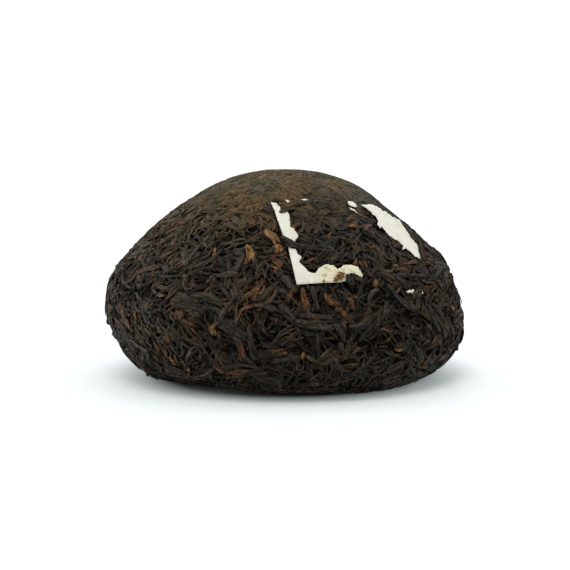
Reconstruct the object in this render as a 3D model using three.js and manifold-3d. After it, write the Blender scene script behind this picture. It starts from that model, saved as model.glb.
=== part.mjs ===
// A cake of ripe pu erh tea, pressed into the shape of a domed bowl and resting rim down, with the torn
// remains of the paper ticket that was pressed into its shoulder.
// Millimetres, +Z up. The origin is on the table, under the middle of the cake. The front is towards -Y.

import * as THREE from "three";
import { mergeVertices } from "three/addons/utils/BufferGeometryUtils.js";
import Module from "manifold-3d";

const { clamp, degToRad, euclideanModulo, lerp, smoothstep } = THREE.MathUtils;
const wasm = await Module();
wasm.setup();

// Driving dimensions of the pressed cake
const crownHeight = 61.2;
const footOuterRadius = 37;
const footInnerRadius = 29;
const hollowDepth = 27;

// The outside from the crown down to the table: radius and height of the points that shape it
const outsideShape = [
  [0, crownHeight],
  [7, 60.9],
  [14.5, 59.3],
  [22, 56.2],
  [28.5, 51.9],
  [35.4, 46.4],
  [42, 40.4],
  [47.6, 34],
  [51.2, 27],
  [52.5, 20],
  [51.7, 13.5],
  [48.6, 7.4],
  [43.8, 2.6],
  [footOuterRadius, 0],
];

// How full the hollow's lip, wall and roof are: shares of their sizes where their curves are pulled to
const hollowLipRound = 5;
const lipFullness = 0.7;
const wallFullness = 0.78;
const wallRise = 0.62;
const roofFullness = 0.5;

// How the pressing is uneven: the lower part sits to the right of the upper part, and the sides wander
const lowerShift = 1;
const upperShift = -0.9;
const crownShift = 0.05;
const shiftHeights = [8, 28];
const crownHeights = [48, 56];
const wander = 0.45;
const wanderRadius = 25;
const wanderHeights = [1, 12];
const wanderWaves = [
  { waves: 3, climb: 0.09, start: 0, share: 1 },
  { waves: 5, climb: -0.13, start: 2, share: 0.6 },
];

// The mesh of the bare cake, and how rough its points are
const ringSpacing = 5.4;
const segments = 50;
const crumb = 0.35;

// The largest tea leaves, the ones that stand out of the surface. A leaf's width is that of its sunk base.
const leafSites = 236;
const leafLength = [9, 15.5];
const leafWidth = [3.4, 5.4];
const leafHeight = [0.85, 1.2];
const leafSunk = 0.12;
const leafBend = 2.4;
const leafTurn = 1.1;
const leafShortening = [1, 0.75, 0.55];
const leafSides = 3;
const leafSteps = 3;

// The crown was pressed flatter, and nothing stands out at the ticket, the foot and the hollow's roof
const calmCrown = 26;
const calmHeightShare = 0.6;
const ticketMargin = 0.5;
const footMargin = 1.2;
const roofMargin = 6;

// The swirls in which the pressing laid the leaves: how far they turn, and how fast along each direction
const swirlRound = { depth: 1.5, rate: 0.085, start: 1.3 };
const swirlDown = { depth: 1.3, rate: 0.11, slant: 0.05 };

// The ticket: paper that lies just proud of the bare cake
const paperThickness = 0.4;
const paperGap = 0.3;
const paperEdge = 4;

// Outlines of the ticket's two large remains. The first number is millimetres round the cake from the
// front, to the right, and the second is millimetres down the outside from the crown.
const leftRemainOutline = [
  [-3.6, 27.5],
  [-2, 33],
  [0.5, 39],
  [2.1, 45],
  [3.1, 51],
  [4.2, 57.6],
  [13.4, 57.6],
  [16.5, 56.9],
  [20.5, 57],
  [22.8, 58.4],
  [24.1, 56],
  [23.2, 53],
  [20.6, 51.5],
  [18.2, 51.7],
  [16.5, 53],
  [14.7, 51.6],
  [12.2, 51.5],
  [10.2, 53],
  [8, 54.2],
  [6.4, 51],
  [5.8, 48],
  [4.5, 45.6],
  [4.8, 41.5],
  [2.9, 37.5],
  [2.2, 31.6],
  [0.2, 31.9],
  [-1.2, 28.6],
];
const rightRemainOutline = [
  [26.2, 29.5],
  [31.2, 30.5],
  [36.7, 32.5],
  [43, 35],
  [46.8, 38.8],
  [47.6, 44],
  [49.6, 48.5],
  [48.6, 52.6],
  [44, 50.6],
  [41.1, 48.5],
  [38.3, 45.6],
  [34.9, 42.7],
  [31.8, 39.2],
  [32, 36.4],
  [29, 33.2],
];

// The small scraps: centre round and down the cake, half length, half width, and turn in degrees
const scraps = [
  { round: 22.2, down: 29, long: 1.7, wide: 0.85, turn: 25 },
  { round: 23.4, down: 31.4, long: 1.3, wide: 0.4, turn: 45 },
  { round: 0.6, down: 26.6, long: 0.8, wide: 0.4, turn: 20 },
  { round: 4.9, down: 25.8, long: 1.4, wide: 0.4, turn: -8 },
  { round: 40, down: 61.2, long: 1.1, wide: 0.5, turn: 5 },
  { round: 46.4, down: 62.4, long: 0.7, wide: 0.5, turn: 60 },
];
const scrapSides = 7;
const scrapUneven = [0.8, 1.15];

// How finely the outline is measured, and how near two points are for them to be one
const traceSteps = 200;
const areaRows = 600;
const probeDown = 0.4;
const probeTurn = 0.02;
const smallestRadius = 6;
const samePoint = 1e-4;
const onTable = 0.01;

const tea = new THREE.MeshStandardMaterial({ color: 0x2c2520, roughness: 0.68, metalness: 0 });
const paper = new THREE.MeshStandardMaterial({ color: 0xe4e1d6, roughness: 0.85, metalness: 0 });

// A repeatable draw between 0 and 1 for each whole number and purpose: the far digits of a sine
const purposes = { crumb: 1, length: 2, width: 3, height: 4, bend: 5, turn: 6, scrap: 9 };
const indexStep = 127.1;
const purposeStep = 311.7;
const farDigits = 43758.5453;

function draw(index, purpose) {
  const wave = Math.sin(index * indexStep + purpose * purposeStep) * farDigits;
  return wave - Math.floor(wave);
}

function drawBetween([low, high], index, purpose) {
  return lerp(low, high, draw(index, purpose));
}

function drawEitherWay(most, index, purpose) {
  return most * (2 * draw(index, purpose) - 1);
}

// The whole outline in four stretches: outside, flat foot, rounded lip, and up the hollow to its roof
function cakeOutline() {
  const outside = new THREE.SplineCurve(outsideShape.map(([r, z]) => new THREE.Vector2(r, z)));
  const footEnd = new THREE.Vector2(footInnerRadius, 0);
  const foot = new THREE.LineCurve(new THREE.Vector2(footOuterRadius, 0), footEnd);
  const lipEnd = new THREE.Vector2(footInnerRadius - hollowLipRound, hollowLipRound);
  const lipPull = new THREE.Vector2(footInnerRadius - hollowLipRound * lipFullness, 0);
  const lip = new THREE.QuadraticBezierCurve(footEnd, lipPull, lipEnd);
  const wallPull = new THREE.Vector2(lipEnd.x * wallFullness, hollowDepth * wallRise);
  const roofPull = new THREE.Vector2(lipEnd.x * roofFullness, hollowDepth);
  const roof = new THREE.Vector2(0, hollowDepth);
  const wall = new THREE.CubicBezierCurve(lipEnd, wallPull, roofPull, roof);
  return [outside, foot, lip, wall];
}

// The outline as evenly spaced points from the roof of the hollow to the crown, each stretch's ends kept
function ringPoints() {
  const points = [];
  for (const stretch of cakeOutline()) {
    const steps = Math.max(2, Math.round(stretch.getLength() / ringSpacing));
    const spaced = stretch.getSpacedPoints(steps);
    points.push(...(points.length ? spaced.slice(1) : spaced));
  }
  points[0].x = 0;
  points[points.length - 1].x = 0;
  return points.reverse();
}

// A finer table of the outline, to find the point at a given distance down from the crown
const trace = cakeOutline().flatMap((stretch, i) => stretch.getSpacedPoints(traceSteps).slice(i ? 1 : 0));
const traceLength = [0];
for (let i = 1; i < trace.length; i += 1) {
  traceLength.push(traceLength[i - 1] + trace[i].distanceTo(trace[i - 1]));
}
const wholeLength = traceLength[trace.length - 1];
const outsideLength = traceLength[traceSteps];
const footLength = footOuterRadius - footInnerRadius;

function outlineAt(down) {
  const wanted = clamp(down, 0, wholeLength);
  const after = traceLength.findIndex((length) => length >= wanted);
  const high = Math.max(1, after);
  const share = (wanted - traceLength[high - 1]) / (traceLength[high] - traceLength[high - 1]);
  return new THREE.Vector2().lerpVectors(trace[high - 1], trace[high], share);
}

// Sideways place of each level's middle
function shiftAt(height) {
  const side = lerp(lowerShift, upperShift, smoothstep(height, ...shiftHeights));
  return lerp(side, crownShift, smoothstep(height, ...crownHeights));
}

// Slow swelling of the sides, nothing at the crown and the foot
function swellAt(radius, height, azimuth) {
  const fade = Math.min(1, radius / wanderRadius) * smoothstep(height, ...wanderHeights);
  let sum = 0;
  for (const { waves, climb, start, share } of wanderWaves) {
    sum += share * Math.sin(waves * azimuth + climb * height + start);
  }
  return wander * fade * sum;
}

// A point of the bare cake from a point of the outline, with the azimuth from +X towards +Y
function turned(point, azimuth) {
  const radius = point.x + swellAt(point.x, point.y, azimuth);
  const x = radius * Math.cos(azimuth) + shiftAt(point.y);
  return new THREE.Vector3(x, radius * Math.sin(azimuth), point.y);
}

function surfacePoint(down, azimuth) {
  return turned(outlineAt(down), azimuth);
}

function surfaceNormal(down, azimuth) {
  const along = surfacePoint(down + probeDown, azimuth).sub(surfacePoint(down - probeDown, azimuth));
  const round = surfacePoint(down, azimuth + probeTurn).sub(surfacePoint(down, azimuth - probeTurn));
  return along.cross(round).normalize();
}

// A point at some height over the bare surface
function liftedPoint(down, azimuth, lift) {
  return surfacePoint(down, azimuth).addScaledVector(surfaceNormal(down, azimuth), lift);
}

// A three.js geometry reduced to shared points and faces, as a join or a cut needs it
function merged(geometry) {
  geometry.deleteAttribute("normal");
  geometry.deleteAttribute("uv");
  return mergeVertices(geometry, samePoint);
}

function solidOf(geometry) {
  const vertProperties = new Float32Array(geometry.attributes.position.array);
  const triVerts = new Uint32Array(geometry.index.array);
  return new wasm.Manifold(new wasm.Mesh({ numProp: 3, vertProperties, triVerts }));
}

function geometryOf(solid) {
  const mesh = solid.getMesh();
  const geometry = new THREE.BufferGeometry();
  geometry.setAttribute("position", new THREE.BufferAttribute(mesh.vertProperties, 3));
  geometry.setIndex(new THREE.BufferAttribute(mesh.triVerts, 1));
  return geometry;
}

// Is a place inside an outline, or nearer to it than the margin
function touchesOutline(round, down, outline, margin) {
  let inside = false;
  let nearest = Infinity;
  for (let i = 0; i < outline.length; i += 1) {
    const [ax, ay] = outline[i];
    const [bx, by] = outline[(i + 1) % outline.length];
    const [sideX, sideY] = [bx - ax, by - ay];
    if (ay > down !== by > down && round < (sideX * (down - ay)) / sideY + ax) {
      inside = !inside;
    }
    const along = ((round - ax) * sideX + (down - ay) * sideY) / (sideX ** 2 + sideY ** 2);
    const share = clamp(along, 0, 1);
    nearest = Math.min(nearest, Math.hypot(round - ax - share * sideX, down - ay - share * sideY));
  }
  return inside || nearest < margin;
}

// A scrap is an uneven little oval
function scrapOutline({ round, down, long, wide, turn }, index) {
  const tilt = degToRad(turn);
  const corners = [];
  for (let i = 0; i < scrapSides; i += 1) {
    const angle = (2 * Math.PI * i) / scrapSides;
    const uneven = drawBetween(scrapUneven, i + 20 * index, purposes.scrap);
    const x = long * uneven * Math.cos(angle);
    const y = wide * uneven * Math.sin(angle);
    const cornerRound = round + x * Math.cos(tilt) - y * Math.sin(tilt);
    const cornerDown = down + x * Math.sin(tilt) + y * Math.cos(tilt);
    corners.push([cornerRound, cornerDown]);
  }
  return corners;
}

const ticketOutlines = {
  ticket_left: leftRemainOutline,
  ticket_right: rightRemainOutline,
};
scraps.forEach((scrap, i) => {
  ticketOutlines[`ticket_scrap_${i + 1}`] = scrapOutline(scrap, i);
});

// The bare cake: the outline turned about the axis, then swollen, shifted and roughened point by point
function bareCake() {
  const points = ringPoints();
  const lathe = new THREE.LatheGeometry(points, segments);
  const position = lathe.attributes.position;
  for (let i = 0; i <= segments; i += 1) {
    const seam = i % segments;
    const azimuth = (2 * Math.PI * seam) / segments;
    const outwards = new THREE.Vector3(Math.cos(azimuth), Math.sin(azimuth), 0);
    for (let j = 0; j < points.length; j += 1) {
      const { x, y } = points[j];
      const smooth = y < onTable || y > crownHeights[0] || x < hollowLipRound;
      const rough = smooth ? 0 : drawEitherWay(crumb, seam + segments * j, purposes.crumb);
      const point = turned(points[j], azimuth).addScaledVector(outwards, rough);
      position.setXYZ(i * points.length + j, point.x, point.y, point.z);
    }
  }
  return merged(lathe);
}

// Which way the leaves run at a place
function flowAt(round, down) {
  const acrossSwirl = swirlRound.depth * Math.sin(round * swirlRound.rate + swirlRound.start);
  const alongSwirl = swirlDown.depth * Math.sin(down * swirlDown.rate - round * swirlDown.slant);
  return acrossSwirl + alongSwirl;
}

// The leaves' places: they wind round the cake at the golden angle, with equal areas between them
function leafPlaces() {
  const areaBelow = [0];
  for (let row = 1; row <= areaRows; row += 1) {
    areaBelow.push(areaBelow[row - 1] + outlineAt((row / areaRows) * wholeLength).x);
  }
  const goldenAngle = Math.PI * (3 - Math.sqrt(5));
  const places = [];
  for (let i = 0; i < leafSites; i += 1) {
    const wanted = ((i + 0.5) / leafSites) * areaBelow[areaRows];
    const down = (areaBelow.findIndex((area) => area >= wanted) / areaRows) * wholeLength;
    const turn = euclideanModulo(i * goldenAngle + Math.PI, 2 * Math.PI) - Math.PI;
    places.push({ down, round: turn * outlineAt(down).x });
  }
  return places;
}

// A leaf is a pointed spindle of triangular section, bent over the cake, with its flat underside sunk in it
function leafSolid(i, place, lengthShare) {
  const blank = merged(new THREE.SphereGeometry(1, leafSides, leafSteps));
  const calm = place.down < calmCrown ? calmHeightShare : 1;
  const length = drawBetween(leafLength, i, purposes.length) * lengthShare;
  const width = drawBetween(leafWidth, i, purposes.width);
  const height = drawBetween(leafHeight, i, purposes.height) * calm;
  const bend = drawEitherWay(leafBend, i, purposes.bend) * lengthShare;
  const angle = flowAt(place.round, place.down) + drawEitherWay(leafTurn, i, purposes.turn);
  const radius = outlineAt(place.down).x;
  const spread = [];
  const position = blank.attributes.position;
  for (let v = 0; v < position.count; v += 1) {
    const along = (position.getY(v) * length) / 2;
    const across = (position.getZ(v) * width) / 2 + bend * (position.getY(v) ** 2 - 0.5);
    const lift = -position.getX(v) * height - leafSunk;
    const round = place.round + along * Math.cos(angle) - across * Math.sin(angle);
    const down = place.down + along * Math.sin(angle) + across * Math.cos(angle);
    const point = liftedPoint(down, round / radius - Math.PI / 2, lift);
    spread.push([(round / radius) * outlineAt(down).x, down]);
    position.setXYZ(v, point.x, point.y, point.z);
  }
  return { solid: solidOf(blank), spread };
}

// A leaf stays off the ticket, the flat foot and the roof of the hollow
function isFree(round, down) {
  const onFoot = down > outsideLength - footMargin && down < outsideLength + footLength + footMargin;
  if (down < 0 || onFoot || down > wholeLength - roofMargin) {
    return false;
  }
  const outlines = Object.values(ticketOutlines);
  return outlines.every((outline) => !touchesOutline(round, down, outline, ticketMargin));
}

// The cake with its leaves. A cavity that the leaves seal comes out as a shell of its own, so the largest
// shell is the cake with every cavity filled.
function teaCake() {
  const pieces = [solidOf(bareCake())];
  leafPlaces().forEach((place, i) => {
    const leaves = leafShortening.map((lengthShare) => leafSolid(i, place, lengthShare));
    const fitting = leaves.find(({ spread }) => spread.every(([round, down]) => isFree(round, down)));
    if (fitting) {
      pieces.push(fitting.solid);
    }
  });
  const shells = wasm.Manifold.union(pieces).decompose();
  shells.sort((a, b) => b.volume() - a.volume());
  return geometryOf(shells[0]);
}

// One round of halving: a triangle with new points on its edges becomes a fan from the first of them, and
// neighbours share each new point
function halveLongEdges(points, corners, longest) {
  const middles = new Map();
  const next = [];
  for (let t = 0; t < corners.length; t += 3) {
    const ring = [];
    let start = 0;
    for (let k = 0; k < 3; k += 1) {
      const a = corners[t + k];
      const b = corners[t + ((k + 1) % 3)];
      ring.push(a);
      if (points[a].distanceTo(points[b]) > longest) {
        const edge = `${Math.min(a, b)} ${Math.max(a, b)}`;
        if (!middles.has(edge)) {
          middles.set(edge, points.length);
          points.push(points[a].clone().lerp(points[b], 0.5));
        }
        start = start || ring.length;
        ring.push(middles.get(edge));
      }
    }
    const fan = [...ring.slice(start), ...ring.slice(0, start)];
    for (let k = 1; k + 1 < fan.length; k += 1) {
      next.push(fan[0], fan[k], fan[k + 1]);
    }
  }
  return next;
}

// The same mesh with no edge over the longest, so that it can bend
function shortened(geometry, longest) {
  const position = geometry.attributes.position;
  const points = [];
  for (let v = 0; v < position.count; v += 1) {
    points.push(new THREE.Vector3().fromBufferAttribute(position, v));
  }
  let corners = Array.from(geometry.index.array);
  let before;
  do {
    before = points.length;
    corners = halveLongEdges(points, corners, longest);
  } while (points.length > before);
  return new THREE.BufferGeometry().setFromPoints(points).setIndex(corners);
}

// A remain of the ticket: its flat outline with some thickness, in short triangles, bent over the cake
function ticketPiece(outline) {
  const shape = new THREE.Shape(outline.map(([round, down]) => new THREE.Vector2(round, -down)));
  const flat = new THREE.ExtrudeGeometry(shape, { depth: paperThickness, bevelEnabled: false, steps: 1 });
  const fine = shortened(merged(flat), paperEdge);
  const position = fine.attributes.position;
  for (let v = 0; v < position.count; v += 1) {
    const down = -position.getY(v);
    const radius = Math.max(outlineAt(down).x, smallestRadius);
    const azimuth = position.getX(v) / radius - Math.PI / 2;
    const point = liftedPoint(down, azimuth, paperGap + position.getZ(v));
    position.setXYZ(v, point.x, point.y, point.z);
  }
  return fine;
}

const cake = new THREE.Group();

const body = new THREE.Mesh(teaCake(), tea);
body.name = "tea_cake";
cake.add(body);

for (const [name, outline] of Object.entries(ticketOutlines)) {
  const piece = new THREE.Mesh(ticketPiece(outline), paper);
  piece.name = name;
  cake.add(piece);
}

export default cake;
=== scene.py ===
# %% [markdown]
# # A cake of ripe pu erh tea
# The real thing is a few thousand withered, rolled leaves that were steamed, dropped into a cloth bag and
# pressed into a domed bowl. Nothing in it is smooth: the surface is the leaves themselves, lying side by
# side in small tufts, one tuft over the next, with dark gaps between them. So the cake is built the same
# way. A rough dark core comes from the outline of the CAD model, and thousands of strips of leaf are
# laid over it along its surface. A displaced dome with a picture of leaves would be lighter, but it has no
# gaps, no overlaps and no leaf ends at its edge.

import bpy
import numpy as np
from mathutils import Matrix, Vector
from mathutils.geometry import delaunay_2d_cdt


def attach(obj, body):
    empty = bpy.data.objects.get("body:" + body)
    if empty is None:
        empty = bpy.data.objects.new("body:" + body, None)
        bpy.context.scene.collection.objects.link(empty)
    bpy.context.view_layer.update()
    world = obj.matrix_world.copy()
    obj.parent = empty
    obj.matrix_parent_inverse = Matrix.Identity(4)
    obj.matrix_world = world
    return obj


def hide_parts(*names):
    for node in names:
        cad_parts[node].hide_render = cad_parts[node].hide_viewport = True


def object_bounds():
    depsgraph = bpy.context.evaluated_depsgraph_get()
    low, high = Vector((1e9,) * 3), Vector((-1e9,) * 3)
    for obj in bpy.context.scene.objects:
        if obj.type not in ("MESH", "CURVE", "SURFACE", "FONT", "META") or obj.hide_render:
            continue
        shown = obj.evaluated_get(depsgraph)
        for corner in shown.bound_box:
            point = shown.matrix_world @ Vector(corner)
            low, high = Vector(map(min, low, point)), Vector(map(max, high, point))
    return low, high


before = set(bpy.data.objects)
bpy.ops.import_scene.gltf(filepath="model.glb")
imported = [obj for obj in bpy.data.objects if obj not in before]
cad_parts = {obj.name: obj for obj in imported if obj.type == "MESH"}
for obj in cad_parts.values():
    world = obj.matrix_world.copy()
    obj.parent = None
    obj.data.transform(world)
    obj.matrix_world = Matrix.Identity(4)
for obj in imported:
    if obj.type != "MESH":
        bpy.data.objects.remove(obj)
cad_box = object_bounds()


def in_scene(name, data):
    """An object with that mesh, lamp or camera, put in the scene."""
    made = bpy.data.objects.new(name, data)
    bpy.context.scene.collection.objects.link(made)
    return made


print("CAD nodes:", sorted(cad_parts))

# %% [markdown]
# ## The shape that everything lies on
# The cake is a turned shape that the pressing made uneven. Its outline runs from the crown over the side
# and the flat foot into the hollow underside. A place on it is given by two numbers, as on a map: how far
# down the outline from the crown, in millimetres, and the azimuth round the axis. A third number is the
# height over the bare surface. All pieces are worked out in these three numbers, and only the last step
# turns them into points in space.

# %% The outline from the crown to the roof of the hollow
MM = 0.001
CROWN_HEIGHT = 61.2
FOOT_OUTER_RADIUS = 37.0
FOOT_INNER_RADIUS = 29.0
HOLLOW_DEPTH = 27.0
HOLLOW_LIP_ROUND = 5.0
OUTSIDE_SHAPE = [
    (0, CROWN_HEIGHT), (7, 60.9), (14.5, 59.3), (22, 56.2), (28.5, 51.9), (35.4, 46.4), (42, 40.4),
    (47.6, 34), (51.2, 27), (52.5, 20), (51.7, 13.5), (48.6, 7.4), (43.8, 2.6), (FOOT_OUTER_RADIUS, 0),
]


def smooth_line(points, steps):
    """A line through all the points: between two of them it is the cubic whose slope at each is half the
    step from the point before it to the point after it."""
    padded = np.array([points[0], *points, points[-1]], float)
    before, start, end, after = padded[:-3], padded[1:-2], padded[2:-1], padded[3:]
    leave, arrive = (end - before) / 2, (after - start) / 2
    t = np.linspace(0, 1, steps)[:, None, None]
    curve = (
        (2 * start - 2 * end + leave + arrive) * t**3
        + (3 * end - 3 * start - 2 * leave - arrive) * t**2
        + leave * t
        + start
    )
    return curve.transpose(1, 0, 2).reshape(-1, 2)


def pulled_line(points, steps):
    """A Bezier curve: its ends are kept, and repeated mixing pulls it towards the points between."""
    t = np.linspace(0, 1, steps)[:, None]
    level = [np.array(point, float)[None, :] for point in points]
    while len(level) > 1:
        level = [a * (1 - t) + b * t for a, b in zip(level, level[1:])]
    return level[0]


# Points that pull the curves of the hollow's lip and wall towards them
lip_radius = FOOT_INNER_RADIUS - HOLLOW_LIP_ROUND
lip_pull = (FOOT_INNER_RADIUS - HOLLOW_LIP_ROUND * 0.7, 0)
wall_pulls = [(lip_radius * 0.78, HOLLOW_DEPTH * 0.62), (lip_radius * 0.5, HOLLOW_DEPTH)]
outside_line = smooth_line(OUTSIDE_SHAPE, steps=60)
foot_line = pulled_line([(FOOT_OUTER_RADIUS, 0), (FOOT_INNER_RADIUS, 0)], steps=40)
lip_line = pulled_line([(FOOT_INNER_RADIUS, 0), lip_pull, (lip_radius, HOLLOW_LIP_ROUND)], steps=60)
wall_line = pulled_line([(lip_radius, HOLLOW_LIP_ROUND), *wall_pulls, (0, HOLLOW_DEPTH)], steps=300)
outline = np.vstack([outside_line, foot_line, lip_line, wall_line])
steps_along = np.linalg.norm(np.diff(outline, axis=0), axis=1)
apart = steps_along > 1e-9
outline = outline[np.concatenate([[True], apart])]
steps_along = steps_along[apart]
outline_down = np.concatenate([[0], np.cumsum(steps_along)])
WHOLE_LENGTH = outline_down[-1]
outside_length = np.linalg.norm(np.diff(outside_line, axis=0), axis=1).sum()
print(f"outline {WHOLE_LENGTH:.1f} mm, of which the outside {outside_length:.1f} mm")

# %% From a place on the cake to a point in space
# How far the cake's levels lie to the right, and the heights between which one part turns into the next
LOWER_SHIFT, UPPER_SHIFT, CROWN_SHIFT = 1.0, -0.9, 0.05
LOWER_TO_UPPER, UPPER_TO_CROWN = (8, 28), (48, 56)
# The height of the slow waves round the cake, which fade towards the axis and the foot
WANDER = 0.45
WANDER_RADIUS, WANDER_HEIGHTS = 25, (1, 12)
# How far apart the two points of a slope are: down the outline, and round it
STEP_DOWN, STEP_ROUND = 0.4, 0.02


def smoothstep(value, low, high):
    """0 below low, 1 above high, and between them the S-curve 3 s^2 - 2 s^3."""
    s = np.clip((value - low) / (high - low), 0, 1)
    return s * s * (3 - 2 * s)


def mix(a, b, share):
    """a where the share is 0, b where it is 1."""
    return a + (b - a) * share


def shortest_turn(angle):
    """The same angle, less or more whole turns, so that it lies within half a turn of zero."""
    return (angle + np.pi) % (2 * np.pi) - np.pi


def radius_at(down):
    """Radius of the outline at a distance down from the crown."""
    return np.interp(down, outline_down, outline[:, 0])


def shift_at(height):
    """How far each level's middle lies to the right: the lower part one way, the upper part the other."""
    side = mix(LOWER_SHIFT, UPPER_SHIFT, smoothstep(height, *LOWER_TO_UPPER))
    return mix(side, CROWN_SHIFT, smoothstep(height, *UPPER_TO_CROWN))


def surface_point(down, azimuth):
    """The outline turned about the axis, its radius swollen by two slow waves, each level then shifted."""
    radius = radius_at(down)
    height = np.interp(down, outline_down, outline[:, 1])
    waves = np.sin(3 * azimuth + 0.09 * height) + 0.6 * np.sin(5 * azimuth - 0.13 * height + 2)
    swell = WANDER * np.minimum(1, radius / WANDER_RADIUS) * smoothstep(height, *WANDER_HEIGHTS) * waves
    x = (radius + swell) * np.cos(azimuth) + shift_at(height)
    return np.stack([x, (radius + swell) * np.sin(azimuth), height], axis=-1)


def surface_normal(down, azimuth):
    """The direction out of the cake: the slope down the outline crossed with the slope round it."""
    inside = np.clip(down, 0.5, WHOLE_LENGTH - 0.5)
    along = surface_point(inside + STEP_DOWN, azimuth) - surface_point(inside - STEP_DOWN, azimuth)
    around = surface_point(inside, azimuth + STEP_ROUND) - surface_point(inside, azimuth - STEP_ROUND)
    normal = np.cross(along, around)
    return normal / np.linalg.norm(normal, axis=-1, keepdims=True)


print("widest point", surface_point(np.array([52.0]), np.array([0.0])).round(1))

# %% Lumps and dents left by the pressing
# Place down, azimuth in degrees, reach, and height. The row of dents at 98 lifts the foot's front edge.
LUMPS = [
    (55.5, -6, 3, 0.8), (69, -4, 4.5, -1), (63, -14, 4, 0.4), (51.5, 183, 2.5, -1.1), (72, 184, 7, 0.4),
    (60, -60, 5, 0.4), (50, -115, 6, -0.4), (66, -130, 6, 0.4), (75, -75, 6, -0.4), (44, 150, 6, -0.4),
    (60, 60, 7, 0.5), (70, 110, 6, -0.5), (48, 90, 7, 0.4), (40, 20, 6, -0.4), (52, 215, 6, 0.3),
    (98, -148, 6, -1.1), (98, -135, 6, -1.5), (98, -122, 6, -1.5), (98, -109, 6, -1.2), (98, -96, 6, -0.7),
    (98, -83, 6, -0.5), (98, -70, 6, -0.7), (92, -154, 1.8, 0.9), (89.5, -163, 3, -1.3),
    (89.5, -24, 3.5, -1.1),
]


def lumps(down, azimuth):
    """The height of lumps, less that of dents: each is a bell curve of the distance to its middle."""
    total = np.zeros(np.broadcast(down, azimuth).shape)
    for lump_down, lump_azimuth, reach, height in LUMPS:
        turn = shortest_turn(azimuth - np.radians(lump_azimuth))
        away = (down - lump_down) ** 2 + (turn * radius_at(down)) ** 2
        total += height * np.exp(-away / (2 * reach**2))
    return total


def placed(down, azimuth, lift):
    """A point at some height over the bare surface with its lumps, in millimetres."""
    height = lift + lumps(down, azimuth)
    return surface_point(down, azimuth) + surface_normal(down, azimuth) * height[..., None]


print("lumps and dents:", len(LUMPS))

# %% Walks over the surface
# Nearer to a pole than this, a walk is made on a flat map. No circle round the axis counts as smaller than
# the least radius, so that a millimetre round is never a wild turn.
POLE_MAP_REACH = 32
LEAST_RADIUS = 6


def slide(down, azimuth, round_step, down_step):
    """Where a short walk ends: down_step along the outline and round_step across it. Near the crown and the
    roof of the hollow the walk is made on a flat map centred on that pole, where a place is its distance
    from the pole and its azimuth. Elsewhere the azimuth grows by the step over the radius."""
    to_crown = down < WHOLE_LENGTH / 2
    reach = np.where(to_crown, down, WHOLE_LENGTH - down)
    ahead = reach + np.where(to_crown, down_step, -down_step)
    beside = round_step * reach / np.maximum(radius_at(down), 0.5)
    map_reach = np.hypot(ahead, beside)
    map_down = np.where(to_crown, map_reach, WHOLE_LENGTH - map_reach)
    map_azimuth = azimuth + np.arctan2(beside, ahead)
    plain_azimuth = azimuth + round_step / np.maximum(radius_at(down), 5)
    near_pole = reach < POLE_MAP_REACH
    new_down = np.where(near_pole, map_down, down + down_step)
    return new_down, np.where(near_pole, map_azimuth, plain_azimuth)


def azimuth_of(round_mm, down):
    """The azimuth of a place given in millimetres round from the middle of the front, to the right."""
    return round_mm / np.maximum(radius_at(down), LEAST_RADIUS) - np.pi / 2


print("azimuth of a place 20 mm round to the right, 50 mm down:", azimuth_of(20, 50).round(3))

# %% [markdown]
# ## Evenly spread places
# The leaves have to cover the whole cake evenly, without rows. Winding round the axis by the golden angle
# and going down by equal areas gives such places, the way seeds sit in a sunflower.

# %% Even places
GOLDEN_ANGLE = np.pi * (3 - np.sqrt(5))
area_below = np.concatenate([[0], np.cumsum(steps_along * (outline[1:, 0] + outline[:-1, 0]) / 2)])
area_share = area_below / area_below[-1]


def even_places(count, start):
    """Place i lies where the share (i + 1/2) / count of the area is above it, i golden angles round."""
    down = np.interp((np.arange(count) + 0.5) / count, area_share, outline_down)
    return down, start + np.arange(count) * GOLDEN_ANGLE


def scattered_places(rng, count, start, scatter):
    """Even places, each moved a random step up or down the outline."""
    down, azimuth = even_places(count, start)
    return np.clip(down + rng.normal(0, scatter, count), 0.3, WHOLE_LENGTH - 0.3), azimuth


print(f"surface {2 * np.pi * area_below[-1] / 100:.0f} square centimetres")

# %% [markdown]
# ## The ticket's outline
# A paper ticket was pressed into the shoulder of the cake, and most of it has since been torn off. Its
# remains are read here first, because the leaves have to lie under the paper. Each outline is a list of
# places in millimetres: round from the front, to the right, and down from the crown. Its corners were
# picked by eye in the photograph, and a separate measuring script turned them into millimetres.

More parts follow.
